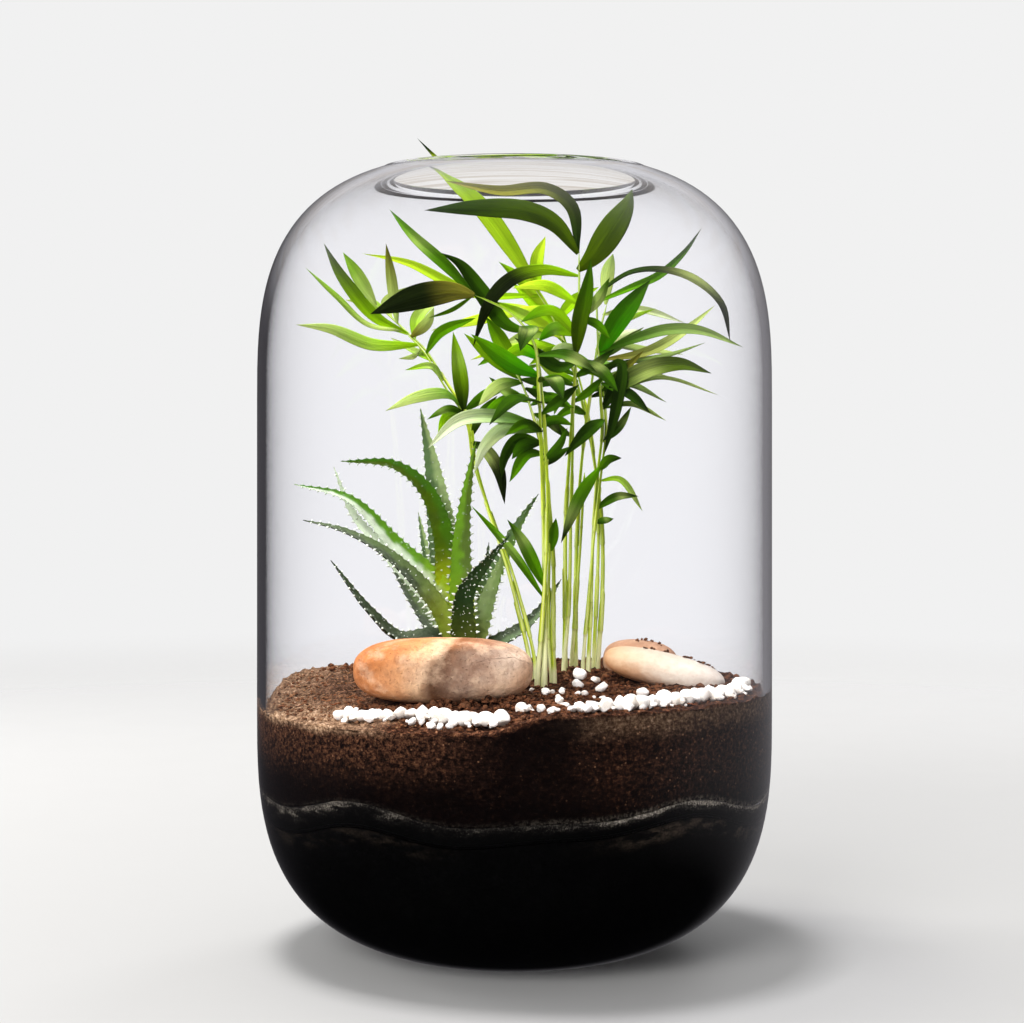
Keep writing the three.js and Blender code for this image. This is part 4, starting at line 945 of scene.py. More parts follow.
def front_stone_paint():
    """Orange on the left, then a painted highlight in light tan and painted shade in dark brown at
    the valley, then grey brown that gets lighter to tan at the end, partly as painted light.
    """
    left_end, width = -0.0545, 0.0597
    middle, half_height = 0.0965, 0.011
    paint = new_paint("front_stone")
    x, _, z = paint.axes()
    warp = paint.noise(45, 4, 0.6)
    fine = paint.noise(420, 4, 0.7)
    pit = 1 - paint.cells(900).rise(0.08, 0.3)
    bend = ((z - middle) / half_height) ** 2 * 0.1
    across = (x - left_end) / width - bend + (warp - 0.5) * 0.1
    crack = paint.cells(46, "DISTANCE_TO_EDGE", paint.bent_place(0.012)).rise(0.008, 0.0)
    crack = crack * x.rise(-0.018, -0.008)
    # Painted highlight in light tan and painted shade in dark brown at the valley, then painted
    # light that lightens the grey brown towards the right end
    bands = paint.ramp(
        across,
        (0.0, (184, 114, 64)), (0.14, (192, 126, 76)), (0.28, (208, 154, 108)),
        (0.39, (234, 198, 162)), (0.45, (96, 68, 48)), (0.52, (120, 94, 76)),
        (0.68, (148, 126, 110)), (0.86, (222, 196, 172)), (1.0, (228, 178, 136)),
    )
    rim = z.rise(0.1075, 0.1105) * 0.35 + (1 - z.rise(0.0895, 0.095)) * 0.3
    warm = paint.blend(rim, bands, (214, 140, 92))
    cloudy = paint.blend(warp.rise(0.45, 0.75) * 0.5, warm, (232, 190, 156), "SOFT_LIGHT")
    mottle = paint.noise(190, 5, 0.7)
    worn = paint.blend(paint.noise(110, 4, 0.65).rise(0.48, 0.66) * 0.4, cloudy, (238, 206, 172))
    dusky = paint.blend((1 - mottle.rise(0.36, 0.56)) * 0.3, worn, (140, 90, 60), "MULTIPLY")
    grained = paint.blend((1 - fine.rise(0.32, 0.6)) * 0.3, dusky, (128, 90, 66))
    pitted = paint.blend(pit * 0.15, grained, (110, 78, 60))
    cracked = paint.blend(crack * mottle.rise(0.42, 0.56) * 0.5, pitted, (106, 76, 60))
    height = fine * 0.8 + warp * 0.5 + mottle * 0.6 - pit * 0.5 - crack * 0.5
    normal = paint.bump(height, 0.45)
    return paint.finish(cracked, fine * 0.2 + 0.5, normal, Specular_IOR_Level=0.3)


def pale_stone_paint():
    """Cream, going over to orange brown low on the left."""
    left_end, width = 0.031, 0.042
    paint = new_paint("pale_stone")
    x, _, z = paint.axes()
    warp = paint.noise(60, 4, 0.6)
    fine = paint.noise(480, 4, 0.7)
    across = (x - left_end) / width + (warp - 0.5) * 0.35
    bands = paint.ramp(
        across,
        (0.0, (206, 162, 122)), (0.16, (236, 206, 170)), (0.35, (246, 230, 206)),
        (0.65, (250, 244, 230)), (1.0, (250, 246, 238)),
    )
    low = 1 - (z + x * 0.28 + (warp - 0.5) * 0.01).rise(0.105, 0.1115)
    warm = paint.blend(low * (1 - across * 0.9).clamped() * 0.9, bands, (208, 136, 80))
    dull = paint.blend(0.4, warm, (170, 120, 84))
    grained = paint.blend(fine.rise(0.35, 0.6) * 0.3, dull, warm)
    return paint.finish(grained, fine * 0.2 + 0.42, paint.bump(fine + warp, 0.25))


def rear_stone_paint():
    paint = new_paint("rear_stone")
    warp = paint.noise(70, 4, 0.6)
    fine = paint.noise(450, 4, 0.7)
    base = paint.blend(warp.rise(0.35, 0.65), (178, 132, 104), (208, 166, 136))
    grained = paint.blend(fine.rise(0.3, 0.6) * 0.4, base, (150, 110, 86))
    return paint.finish(grained, fine * 0.2 + 0.55, paint.bump(fine + warp, 0.3))


def pebble_paint():
    paint = new_paint("white_pebble")
    warp = paint.noise(160, 3)
    fine = paint.noise(900, 3, 0.7)
    base = paint.blend(warp.rise(0.4, 0.7), (250, 246, 240), (232, 222, 208))
    flecked = paint.blend((1 - fine.rise(0.3, 0.42)) * 0.4, base, (190, 172, 150))
    return paint.finish(flecked, fine * 0.2 + 0.45, paint.bump(fine + warp, 0.25))


def soil_paint():
    """Dark brown fibres with small pale flecks, dry and pale on the left heap, dusty on the right,
    and darker low down and in a band in the middle of the glass."""
    paint = new_paint("potting_soil")
    x, y, z = paint.axes()
    share, _, level = paint.leaf()
    top = level.rise(0.96, 1.0)
    warp = paint.noise(90, 4, 0.6)
    grain = paint.noise(850, 4, 0.75)
    fibre = paint.noise(420, 3, 0.7, None, (1, 1, 2.2))
    mixed = grain * 0.65 + fibre * 0.35
    pressed = paint.ramp(
        mixed,
        (0.42, (9, 5, 4)), (0.52, (40, 24, 17)), (0.6, (72, 46, 32)), (0.7, (128, 90, 64)),
    )
    loose = paint.ramp(
        mixed,
        (0.4, (12, 6, 4)), (0.49, (48, 28, 19)), (0.57, (92, 58, 40)), (0.68, (160, 114, 82)),
    )
    dry = paint.ramp(
        mixed,
        (0.36, (62, 42, 30)), (0.47, (122, 93, 70)), (0.56, (176, 144, 114)),
        (0.66, (232, 208, 180)),
    )
    brown = paint.blend(top, pressed, loose)
    reddish = paint.blend(warp.rise(0.45, 0.7) * 0.15, brown, (104, 60, 38), "SOFT_LIGHT")
    fleck = (1 - paint.cells(560).rise(0.08, 0.24)) * paint.noise(300, 1).rise(0.54, 0.62)
    flecked = paint.blend(fleck * 0.55, reddish, (180, 132, 98))
    left = 1 - (x + (warp - 0.5) * 0.04).rise(-0.062, -0.034)
    heap = left * (z + warp * 0.006).rise(0.0845, 0.0882) * (1 - y.rise(-0.045, -0.01) * 0.5)
    pale = heap * (share.rise(0.72, 0.93) * 0.65 + warp.rise(0.45, 0.6) * 0.15 + 0.2)
    dusty = x.rise(0.004, 0.03) * (z + warp * 0.004).rise(0.083, 0.0905) * (1 - top)
    sandy = paint.blend(pale.most(dusty * 0.26), flecked, dry)
    # Darker low down and in an upright band in the middle of the front
    deep = 1 - (z + (warp - 0.5) * 0.02 + x.rise(0.0, 0.04) * 0.009).rise(0.062, 0.084)
    middle_band = 1 - (x + (warp - 0.5) * 0.03 - 0.006).absolute().rise(0.006, 0.032)
    low_and_middle_dark = (deep * 0.95).most(middle_band * 0.85) * (1 - top)
    shaded = paint.blend(low_and_middle_dark, sandy, (5, 3, 3))
    side = (x * -1).rise(0.01, 0.04) * z.rise(0.066, 0.08) * (1 - top)
    lifted = paint.blend(side * mixed.rise(0.42, 0.64) * 0.3, shaded, (128, 84, 58), "SCREEN")
    dust = (1 - level.rise(0.0, 0.07)) * grain.rise(0.42, 0.64) * (1 - top)
    settled = paint.blend(dust * (x.rise(-0.01, 0.045) * 0.7 + 0.1), lifted, (112, 105, 94))
    normal = paint.bump(grain + fibre * 0.6, 0.7)
    return paint.finish(settled, 0.92, normal, Specular_IOR_Level=0.15)


def crumb_paint():
    paint = new_paint("soil_crumb")
    grain = paint.noise(800, 3, 0.7)
    tint = paint.attribute("tint", "Color")
    color = paint.blend(grain.rise(0.35, 0.65), tint, (112, 70, 46))
    return paint.finish(color, 0.9, paint.bump(grain, 0.5), Specular_IOR_Level=0.2)


def sand_paint():
    """Grey sand that is bright along its upper edge and fades into the dark in wisps."""
    paint = new_paint("grey_sand")
    x = paint.axes()[0]
    grain = paint.noise(1500, 3, 0.8)
    wisp = paint.noise(90, 4, 0.7, None, (1, 1, 3))
    level = paint.leaf()[2]
    strong = x.rise(0.015, 0.045) * 2.2 + (x * -1).rise(0.03, 0.06) * 0.1
    patch = wisp.rise(0.45, 0.62) * 0.4 + strong
    ragged = level + (wisp - 0.5) * 1.3 + (grain - 0.5) * 0.7
    upper = ragged.rise(0.66, 1.02) * (1 - ragged.rise(1.1, 1.3) * 0.8)
    lit = ((upper * 0.6 + ragged.rise(0.3, 1.0) * 0.12) * (patch * 0.9 + 0.1)).clamped()
    grey = paint.ramp(grain, (0.36, (52, 49, 46)), (0.5, (110, 104, 96)), (0.64, (186, 176, 162)))
    dark = paint.blend(lit, (5, 5, 5), grey)
    return paint.finish(dark, 0.92, paint.bump(grain, 0.4), Specular_IOR_Level=0.1)


def gravel_paint():
    """Black, with wisps of grey sand washed in below its top."""
    paint = new_paint("black_gravel")
    x = paint.axes()[0]
    grain = paint.noise(1200, 3, 0.75)
    cloud = paint.noise(120, 2)
    wisp = paint.noise(110, 4, 0.7, None, (1, 1, 3))
    level = paint.leaf()[2]
    color = paint.blend(grain.rise(0.4, 0.7) * cloud, (2, 2, 2), (14, 14, 15))
    sides = x.absolute().rise(0.012, 0.04) * 0.2 + x.rise(0.028, 0.046) * 0.6
    washed = (level + (wisp - 0.5) * 0.1).rise(0.84, 0.94) * (1 - level.rise(0.95, 0.99))
    patch = washed * wisp.rise(0.42, 0.62) * sides
    dusted = paint.blend(patch * (grain.rise(0.35, 0.65) * 0.6 + 0.3), color, (80, 68, 56))
    normal = paint.bump(grain, 0.3)
    return paint.finish(dusted, grain * 0.3 + 0.5, normal, Specular_IOR_Level=0.12)


def glass_paint():
    """Clear glass that lets the studio's light through to the plants."""
    paint = new_paint("clear_glass")
    ripples = paint.bump(paint.noise(14, 1), 0.06)
    glass = paint.surface((0.985, 0.985, 1, 1), 0.0, ripples, IOR=1.45, Transmission_Weight=1.0)
    shadow = paint.value("LightPath", {}, {}, "Is Shadow Ray")
    through = paint.value("BsdfTransparent", {}, {"Color": (0.93, 0.93, 0.94, 1)})
    return paint.output(paint.value("MixShader", {}, {0: shadow, 1: glass, 2: through}))


def jar_radius(z, inset):
    """The radius at height z of a surface that lies inset within the jar's outside."""
    rise = max(LOWER_SHOULDER - z, z - UPPER_SHOULDER, 0) / (SHOULDER_REACH - inset)
    return (JAR_RADIUS - inset) * max(0, 1 - rise**SHOULDER_POWER) ** (1 / SHOULDER_POWER)


def shoulder(inset, edge, direction, end_radius):
    """Points of one rounded shoulder, from the straight side to the given radius."""
    radius = JAR_RADIUS - inset
    end = math.acos((end_radius / radius) ** (SHOULDER_POWER / 2))
    points = []
    for i in range(SHOULDER_STEPS + 1):
        angle = end * i / SHOULDER_STEPS
        across = radius * math.cos(angle) ** (2 / SHOULDER_POWER)
        rise = (SHOULDER_REACH - inset) * math.sin(angle) ** (2 / SHOULDER_POWER)
        points.append((across, edge + direction * rise))
    return points


def glass_jar():
    """One wall, turned from its profile, with an open mouth and a rounded lip."""
    form = Form()
    bm = form.bm
    lip_centre = (MOUTH_RADIUS + LIP_RADIUS, JAR_HEIGHT - LIP_RADIUS)
    lip = [
        (
            lip_centre[0] + LIP_RADIUS * math.cos(math.radians(angle)),
            lip_centre[1] + LIP_RADIUS * math.sin(math.radians(angle)),
        )
        for angle in range(-10, 191, 20)
    ]
    outside = shoulder(0, LOWER_SHOULDER, -1, jar_radius(0, 0))[::-1]
    top = shoulder(0, UPPER_SHOULDER, 1, lip_centre[0] + LIP_RADIUS * LIP_REACH)
    under = shoulder(WALL, UPPER_SHOULDER, 1, MOUTH_RADIUS + LIP_STEP)[::-1]
    inside = shoulder(WALL, LOWER_SHOULDER, -1, jar_radius(FLOOR_THICKNESS, WALL))
    profile = [(0, 0), *outside, *top, *lip, *under, *inside, (0, FLOOR_THICKNESS)]
    verts = [bm.verts.new((radius, 0, z)) for radius, z in profile]
    edges = [bm.edges.new(pair) for pair in zip(verts, verts[1:])]
    bmesh.ops.spin(
        bm, geom=verts + edges, cent=(0, 0, 0), axis=(0, 0, 1), dvec=(0, 0, 0),
        angle=2 * math.pi, steps=JAR_STEPS, use_merge=True, use_duplicate=False,
    )
    bmesh.ops.remove_doubles(bm, verts=bm.verts, dist=0.01)
    form.finish(bm.faces)
    return form.piece("jar", [glass_paint()], "clear_glass", "glass_jar")


def around_of(x, y):
    """The angle from the front, and how near the wall a place is."""
    return math.atan2(x, -y), min(1, math.hypot(x, y) / JAR_RADIUS) ** 2


def sand_top(x, y):
    around, outwards = around_of(x, y)
    wave = math.sin(9 * around + 1) * 0.5 - math.cos(5 * around)
    return SAND_HEIGHT + SAND_WAVE * outwards * wave


def gravel_top(x, y):
    around, outwards = around_of(x, y)
    drop = GRAVEL_DROP - GRAVEL_WAVE * math.sin(around * 2 + 0.5)
    return sand_top(x, y) - SAND_THICKNESS - outwards * drop


def soil_top(x, y):
    """The soil dips at its left front and has a few heaps."""
    outwards = smoothstep(math.hypot(x, y), 46, 88)
    left_front = (1 - smoothstep(x, -8, 14)) * (1 - smoothstep(y, -30, 40))
    heaps = sum(
        height * math.exp(-((x - hx) ** 2 + (y - hy) ** 2) / radius**2 / 2)
        for hx, hy, radius, height in SOIL_HEAPS
    )
    return SOIL_HEIGHT - SOIL_DIP * outwards * left_front + heaps + SOIL_SLANT * math.tanh(x / 30)


def layer(name, profile, bottom, top, sides, roughen, paint, slot, node):
    """A layer that fills the jar between two surfaces. The profile's points are shares of the
    radius and of the height. roughen moves a point of its skin."""
    form = Form()
    last = len(profile) - 1

    def ring(along):
        share, level = profile[round(along * last)]

        def place(around):
            angle = 2 * math.pi * around
            direction = Vector((math.cos(angle), math.sin(angle), 0))
            x, y, _ = direction * share * (JAR_RADIUS - FILL_INSET)
            z = lerp(bottom(x, y), top(x, y), level)
            point = direction * share * jar_radius(z, FILL_INSET)
            point.z = z
            return roughen(point, share, level), (0, 0, 0, 0), (share, level, level)

        return place

    form.skin(last, sides, ring)
    return form.piece(name, [paint], slot, node)


def layer_profile(floor_rings, wall_rings, top_rings):
    """Rings over the floor, up the wall and over the top, with close ones at the corners."""
    near_edge, near_foot = 0.996, 0.02
    floor = [(i / floor_rings, 0) for i in range(floor_rings)] + [(near_edge, 0)]
    wall = [(1, i / wall_rings) for i in range(1, wall_rings)]
    top = [(1, 1), (near_edge, 1), *((1 - i / top_rings, 1) for i in range(1, top_rings + 1))]
    return floor + [(1, 0), (1, near_foot), *wall, (1, 1 - near_foot)] + top


def pressed_stones(point, share, level):
    """Gravel that presses on the glass, with lumps on its top."""
    return point + Vector((0, 0, -0.8 * abs(noise.noise(point / 3)) if share < 1 and level else 0))


def sand_grains(point, share, level):
    """Sand with a ragged edge."""
    rough = noise.fractal(point / 2.2, 1, 2, 3) * 0.35 + noise.noise(point / 6) * 0.5
    return point + Vector((0, 0, min(rough, 0.15) * level))


def soil_lumps(point, share, level):
    """Crumbly soil on top, and nearly flat where it presses on the glass."""
    if level < 1:
        return point
    rough = noise.fractal(point / 2.6, 0.8, 2, 4) + noise.noise(point / 9) * 1.1
    grains = max(0, noise.noise(point / 1.3)) * 1.3
    return point + Vector((0, 0, rough + grains - 0.4 * smoothstep(share, 0.96, 1)))


def layers():
    """Gravel, sand and soil, from the floor up."""
    rings, sides = amount(64), amount(96)
    layer(
        "gravel_bed", layer_profile(6, rings, 10), lambda x, y: FLOOR_THICKNESS + GRAVEL_GAP,
        gravel_top, 3 * sides, pressed_stones, gravel_paint(), "black_gravel", "drainage_gravel",
    )
    layer(
        "sand_band", layer_profile(5, 8, 10), lambda x, y: gravel_top(x, y) + SAND_GAP,
        sand_top, 3 * sides, sand_grains, sand_paint(), "grey_sand", "sand_layer",
    )
    layer(
        "soil_bed", layer_profile(5, 24, rings), lambda x, y: sand_top(x, y) + SOIL_GAP,
        soil_top, 2 * sides, soil_lumps, soil_paint(), "dark_soil", "potting_soil",
    )


def stone(name, paint, slot):
    """A rounded stone: a ball with flattened sides, with an upright valley in its front."""
    centre, halves, power, turns, valley = STONES[name]
    form = Form()
    ball = bmesh.ops.create_icosphere(form.bm, subdivisions=amount(6), radius=1)
    for vert in ball["verts"]:
        x, y, z = vert.co
        size = (abs(x) ** power + abs(y) ** power + abs(z) ** power) ** (1 / power)
        x, y, z = x / size, y / size, z / size
        bend = VALLEY_BEND * max(0, z + 0.2) ** 2
        dent = valley * math.exp(-(((x - VALLEY_PLACE - bend) / VALLEY_WIDTH) ** 2))
        dent *= smoothstep(-y, 0.3, 0.9) * smoothstep(-z, -0.9, 0.8)
        point = Vector((x * halves[0], y * halves[1] + dent, z * halves[2]))
        rough = noise.noise(point / 9) * 0.25 + noise.fractal(point / 2.5, 1, 2, 3) * 0.06
        vert.co = point * (1 + (rough - 0.15) / point.length)
    turn_z, turn_y = (math.radians(angle) for angle in turns)
    for turn in ((0, turn_y, 0), (0, 0, turn_z)):
        matrix = Euler(turn).to_matrix()
        bmesh.ops.rotate(form.bm, cent=(0, 0, 0), matrix=matrix, verts=form.bm.verts)
    bmesh.ops.translate(form.bm, vec=centre, verts=form.bm.verts)
    form.finish(form.bm.faces)
    return form.piece(name + "_skin", [paint], slot, name)


def ground_of(*names):
    """Finds the height of the CAD surface under a point, in millimetres."""
    above_all = 125
    trees = []
    for name in names:
        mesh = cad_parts[name].data
        mesh.calc_loop_triangles()
        corners = [vert.co / METRES for vert in mesh.vertices]
        trees.append(BVHTree.FromPolygons(corners, [t.vertices[:] for t in mesh.loop_triangles]))

    def height(x, y):
        hits = [tree.ray_cast(Vector((x, y, above_all)), Vector((0, 0, -1))) for tree in trees]
        tops = [hit[0].z for hit in hits if hit[0]]
        return max(tops) if tops else SOIL_HEIGHT

    return height


def angular_stone(form, centre, radius, stretch, turn, random, detail=3, tint=(1, 1, 1, 1)):
    """A small broken stone with flat faces, which rests at the height of centre."""
    flat_count, flatness = 8, 0.94
    ball = bmesh.ops.create_icosphere(form.bm, subdivisions=detail, radius=radius)["verts"]
    flats = []
    for _ in range(flat_count):
        flat = Vector((random() - 0.5, random() - 0.5, random() - 0.5)).normalized()
        flats.append((flat, radius * lerp(0.6, 0.85, random())))
    for vert in ball:
        for flat, reach in flats:
            over = vert.co.dot(flat) - reach
            if over > 0:
                vert.co -= flat * over * flatness
    bmesh.ops.scale(form.bm, vec=stretch, verts=ball)
    bmesh.ops.rotate(form.bm, cent=(0, 0, 0), matrix=Euler(turn).to_matrix(), verts=ball)
    low = min(vert.co.z for vert in ball)
    bmesh.ops.translate(form.bm, vec=(centre[0], centre[1], centre[2] - low), verts=ball)
    faces = form.stamp(ball, tint, smooth=detail > 2)
    bmesh.ops.recalc_face_normals(form.bm, faces=list(faces))


def pebbles(paint):
    """Rows of pebbles along the glass, single ones and small chips."""
    ground = ground_of("potting_soil")
    random = random_row("pebbles")
    shape = random_row("pebble shapes")

    def pebble(form, x, y, radius):
        turn = (random() * math.pi, 0, random() * math.pi)
        stretch = [size + random() * 0.2 for size in (1.1, 1, 0.8)]
        size = radius * lerp(0.78, 1.1, shape())
        x, y = x + 0.8 * shape() - 0.4, y + 0.8 * shape() - 0.4
        angular_stone(form, (x, y, ground(x, y) - 0.2), size, stretch, turn, shape)

    for name, rows in PEBBLE_ROWS.items():
        form = Form()
        for angles, distances, count in rows:
            for i in range(count):
                share = i / (count - 1)
                angle = math.radians(lerp(*angles, share))
                distance = lerp(*distances, share) + random() - 0.5
                radius = lerp(*PEBBLE_RADII, random())
                pebble(form, distance * math.sin(angle), -distance * math.cos(angle), radius)
        form.piece(name + "_white", [paint], "white_stone", name)
    for i, (x, y, radius) in enumerate(SINGLE_PEBBLES, 1):
        form = Form()
        pebble(form, x, y, radius)
        form.piece(f"pebble_{i}_white", [paint], "white_stone", f"pebble_{i}")

    chips = Form()
    for first, last, near, far, count in WHITE_CHIPS:
        batch = Form()
        for _ in range(count):
            angle = math.radians(lerp(first, last, random()))
            distance = lerp(near, far, random())
            x, y = distance * math.sin(angle), -distance * math.cos(angle)
            size = lerp(*CHIP_SIZES, random() ** 1.5)
            turn = (3 * random(), 0, 6 * random())
            centre = (x, y, ground(x, y) + lerp(-0.2, 1.2, shape()))
            angular_stone(batch, centre, size, (1.3, 1, 0.8), turn, shape, 2)
        chips.take_in(batch)
    chips.piece("white_chips", [paint], "white_stone")


def scatter():
    """Soil crumbs over the ground, on the right stone and at the foot of the aloe."""
    ground = ground_of("potting_soil")
    stones = ground_of("potting_soil", "stone_right", "stone_rear")
    random = random_row("crumbs")
    form = Form()
    places = []
    for _ in range(amount(LOOSE_CRUMBS)):
        angle = 2 * math.pi * random()
        distance = CRUMB_REACH * random() ** 0.4
        x, y = distance * math.cos(angle), distance * math.sin(angle)
        top = ground(x, y)
        if top > soil_top(x, y) - HOLLOW_DEPTH:
            left = x < -25 and y < 30
            size = 0.3 + (0.45 if left else 1.05) * random() ** 2.4
            places.append((x, y, top - size * 0.1, size, DRY_SHADES if left else DAMP_SHADES))
    for first, last, front, count in PILED_SOIL:
        for _ in range(count):
            x = lerp(first, last, random())
            bend = 1 - ((x - (first + last) / 2) / (last - first) * 2) ** 2
            y = front + (1 - bend) * 9 + 3.4 * (random() - 0.3)
            rise = max(0, 1.6 * random() * smoothstep(y, front - 2, front + 3))
            places.append((x, y, ground(x, y) + rise, 0.5 + 0.9 * random(), DAMP_SHADES))
    for x, y, reach in STONE_CRUMBS:
        for _ in range(CRUMBS_IN_HEAP):
            px, py = x + reach * (random() - 0.5), y + reach * (random() - 0.5)
            size = 0.25 + 0.45 * random()
            places.append((px, py, stones(px, py) - 0.1, size, DAMP_SHADES))
    for start in range(0, len(places), CRUMBS_IN_BATCH):
        batch = Form()
        for x, y, z, size, shades in places[start : start + CRUMBS_IN_BATCH]:
            tint = (*linear(pick(shades, random)), 1)
            stretch = (1 + random() * 1.1, 1, 0.6 + random() * 0.4)
            angular_stone(batch, (x, y, z), size, stretch, (0, 0, 6 * random()), random, 1, tint)
        form.take_in(batch)
    form.piece("soil_crumbs", [crumb_paint()], "dark_soil")


def fibres():
    """Thin curled fibres that lie on the soil."""
    ground = ground_of("potting_soil")
    random = random_row("fibres")
    form = Form()
    for x, y, reach, count in FIBRES:
        for _ in range(count):
            angle = 2 * math.pi * random()
            out = reach * random() ** 0.5
            here = Vector((x + out * math.cos(angle), y + out * math.sin(angle) * 0.7, 0))
            if here.length > CRUMB_REACH - 2:
                continue
            heading = 2 * math.pi * random()
            points = []
            for _ in range(4):
                height = ground(here.x, here.y) + lerp(0.2, 1.5, random())
                points.append(Vector((here.x, here.y, height)))
                heading += 1.6 * (random() - 0.5)
                onwards = Vector((math.cos(heading), math.sin(heading), 0))
                here = here + onwards * lerp(1, 2.3, random())
            route = Route(points)
            thickness = lerp(*FIBRE_RADII, random())
            tint = (*linear(pick(FIBRE_SHADES, random)), 0)

            def ring(along):
                across, up = frame_at(route.tangent(along), Vector((0, 0, 1)))
                radius = thickness * (1 - (2 * along - 1) ** 4)

                def place(around):
                    outwards = spoke(across, up, 2 * math.pi * around)
                    return route.point(along) + outwards * radius, tint, (0, 0, 0)

                return place

            form.skin(8, 5, ring)
    form.piece("soil_fibres", [crumb_paint()], "dark_soil")


def aloe_half_width(along):
    """An aloe leaf's half width as a share of its full width, at a share of its length."""
    return 0.5 * (1 - along) ** 0.86 * (0.92 + 0.16 * math.sin(math.pi * along))


def tooth(form, foot, direction, height, radius, tint):
    """A soft tooth: a small cone that stands on the leaf."""
    cone = bmesh.ops.create_cone(
        form.bm, cap_ends=True, segments=6, radius1=radius, radius2=radius * 0.15, depth=height
    )["verts"]
    turn = Vector((0, 0, 1)).rotation_difference(direction).to_matrix()
    bmesh.ops.rotate(form.bm, cent=(0, 0, 0), matrix=turn, verts=cone)
    bmesh.ops.translate(form.bm, vec=foot + direction * height * 0.3, verts=cone)
    form.stamp(cone, tint, slot=1)


def aloe_leaf(form, teeth, item, random):
    """A thick leaf with a hollow upper side and a scalloped edge. Each scallop ends in a tooth."""
    through, width, tilt, low, high, underside_and_shade_hue = item
    points = [seen(point) for point in through]
    base = Vector((*ALOE_CENTRE, ALOE_CORE_TOP - ALOE_ROOT_DROP))
    base += (points[0] - base).normalized() * ALOE_LEAF_ROOT
    route = Route([base, *points])
    luck = random()
    bristly = high == "ink"
    tooth_tint = tint_of(high, "tooth", 0.4 if high in ("leek", "moss") else 1)
    first, toothed = 0.12, 0.86
    count = max(4, int(route.length * toothed / TOOTH_PITCH))
    warmth = HEART_WARMTH.get(low, OTHER_WARMTH)

    def section(along):
        """What gives a point on the leaf and the way that its skin looks there."""
        centre = route.point(along)
        side, up = frame_at(route.tangent(along), facing_of(tilt))
        half = width * aloe_half_width(along)
        wave = 0.5 + 0.5 * math.cos(2 * math.pi * ((along - first) / toothed * count - 0.5))
        scallop = 0.85 * wave * smoothstep(along, 0.1, 0.2) * (1 - along) ** 0.3

        def at(across, under):
            top = 0.04 + 0.18 * across * across
            bottom = 0.22 - 0.72 * (1 - across * across) ** 0.7
            rise = (bottom if under else top) * (half + 0.4)
            outwards = side * across * 0.8 + (-up if under else up) * (1.05 - abs(across))
            reach = across * (half + scallop * smoothstep(abs(across), 0.5, 1))
            return centre + side * reach + up * rise, outwards.normalized()

        return at

    def ring(along):
        at = section(along)
        tint = tint_of(low, high, min(1, along * 2) if bristly else along)
        warm, below = hue("heart"), hue(underside_and_shade_hue)
        share = warmth * (1 - smoothstep(along, 0.14, 0.44))
        shown = smoothstep(along, 0.1, 0.3)
        soft = min(1, width * (1 - along) / 4)

        def place(around):
            angle = 2 * math.pi * around
            across = math.cos(angle)
            point, outwards = at(across, math.sin(angle) < 0)
            # The lower edge and the underside take the under hue: painted shade where that hue is
            # dark
            edge = smoothstep(across + 0.5 * noise.noise(point / 3), -0.35, 0.25)
            turned = shown * max(edge, 1 - smoothstep(math.sin(angle), -0.5, 0.1))
            flesh = (lerp(a, b, turned) for a, b in zip(tint, below))
            mixed = tuple(lerp(a, b, share) for a, b in zip(flesh, warm))
            lumps = (noise.noise(point / 2.6) * 0.2 + noise.noise(point / 1.1) * 0.08) * soft
            return point + outwards * lumps, mixed, (along, across, luck)

        return place

    form.skin(amount(150), 18, ring)
    for i in range(count):
        along = first + toothed * (i + 0.5) / count
        size = lerp(1, 0.6, along) * lerp(0.8, 1.15, random())
        at = section(along)
        side, up = frame_at(route.tangent(along), facing_of(tilt))
        for across in (-1, 1):
            lean = side * across + route.tangent(along) * 0.3 + up * 0.25 * (random() - 0.3)
            foot = at(across, False)[0]
            height, radius = TOOTH_HEIGHT * size, TOOTH_RADIUS * size
            tooth(teeth, foot, lean.normalized(), height, radius, tooth_tint)
    for _ in range(int(route.length * PRICKLES_PER_MM.get(high, OTHER_PRICKLES_PER_MM))):
        along = lerp(0.16 if bristly else 0.3, 0.95, random())
        across = pick(PRICKLE_ROWS, random) + 0.36 * (random() - 0.5)
        across = min(0.95, across + (0.3 if bristly else 0))
        foot, outwards = section(along)(across, random() < 0.65 and not bristly)
        size = lerp(1, 0.55, along) * 0.6
        height, radius = PRICKLE_HEIGHT * size, PRICKLE_RADIUS * size
        tooth(teeth, foot, outwards, height, radius, tooth_tint)


def aloe():
    """The core and its leaves, each with its own teeth."""
    form = Form()
    random = random_row("aloe")
    foot_radius, top_radius = ALOE_CORE_RADII
    core = bmesh.ops.create_cone(
        form.bm, cap_ends=True, segments=28, radius1=foot_radius, radius2=top_radius,
        depth=ALOE_CORE_TOP - ALOE_CORE_FOOT,
    )["verts"]
    middle = (*ALOE_CENTRE, (ALOE_CORE_TOP + ALOE_CORE_FOOT) / 2)
    bmesh.ops.translate(form.bm, vec=middle, verts=core)
    form.stamp(core, hue("frost"))
    for item in ALOE_LEAVES:
        teeth = Form()
        aloe_leaf(form, teeth, item, random)
        form.take_in(teeth)
    return form.piece("aloe_plant", [aloe_paint(), tooth_paint()], "aloe_leaf", "aloe")


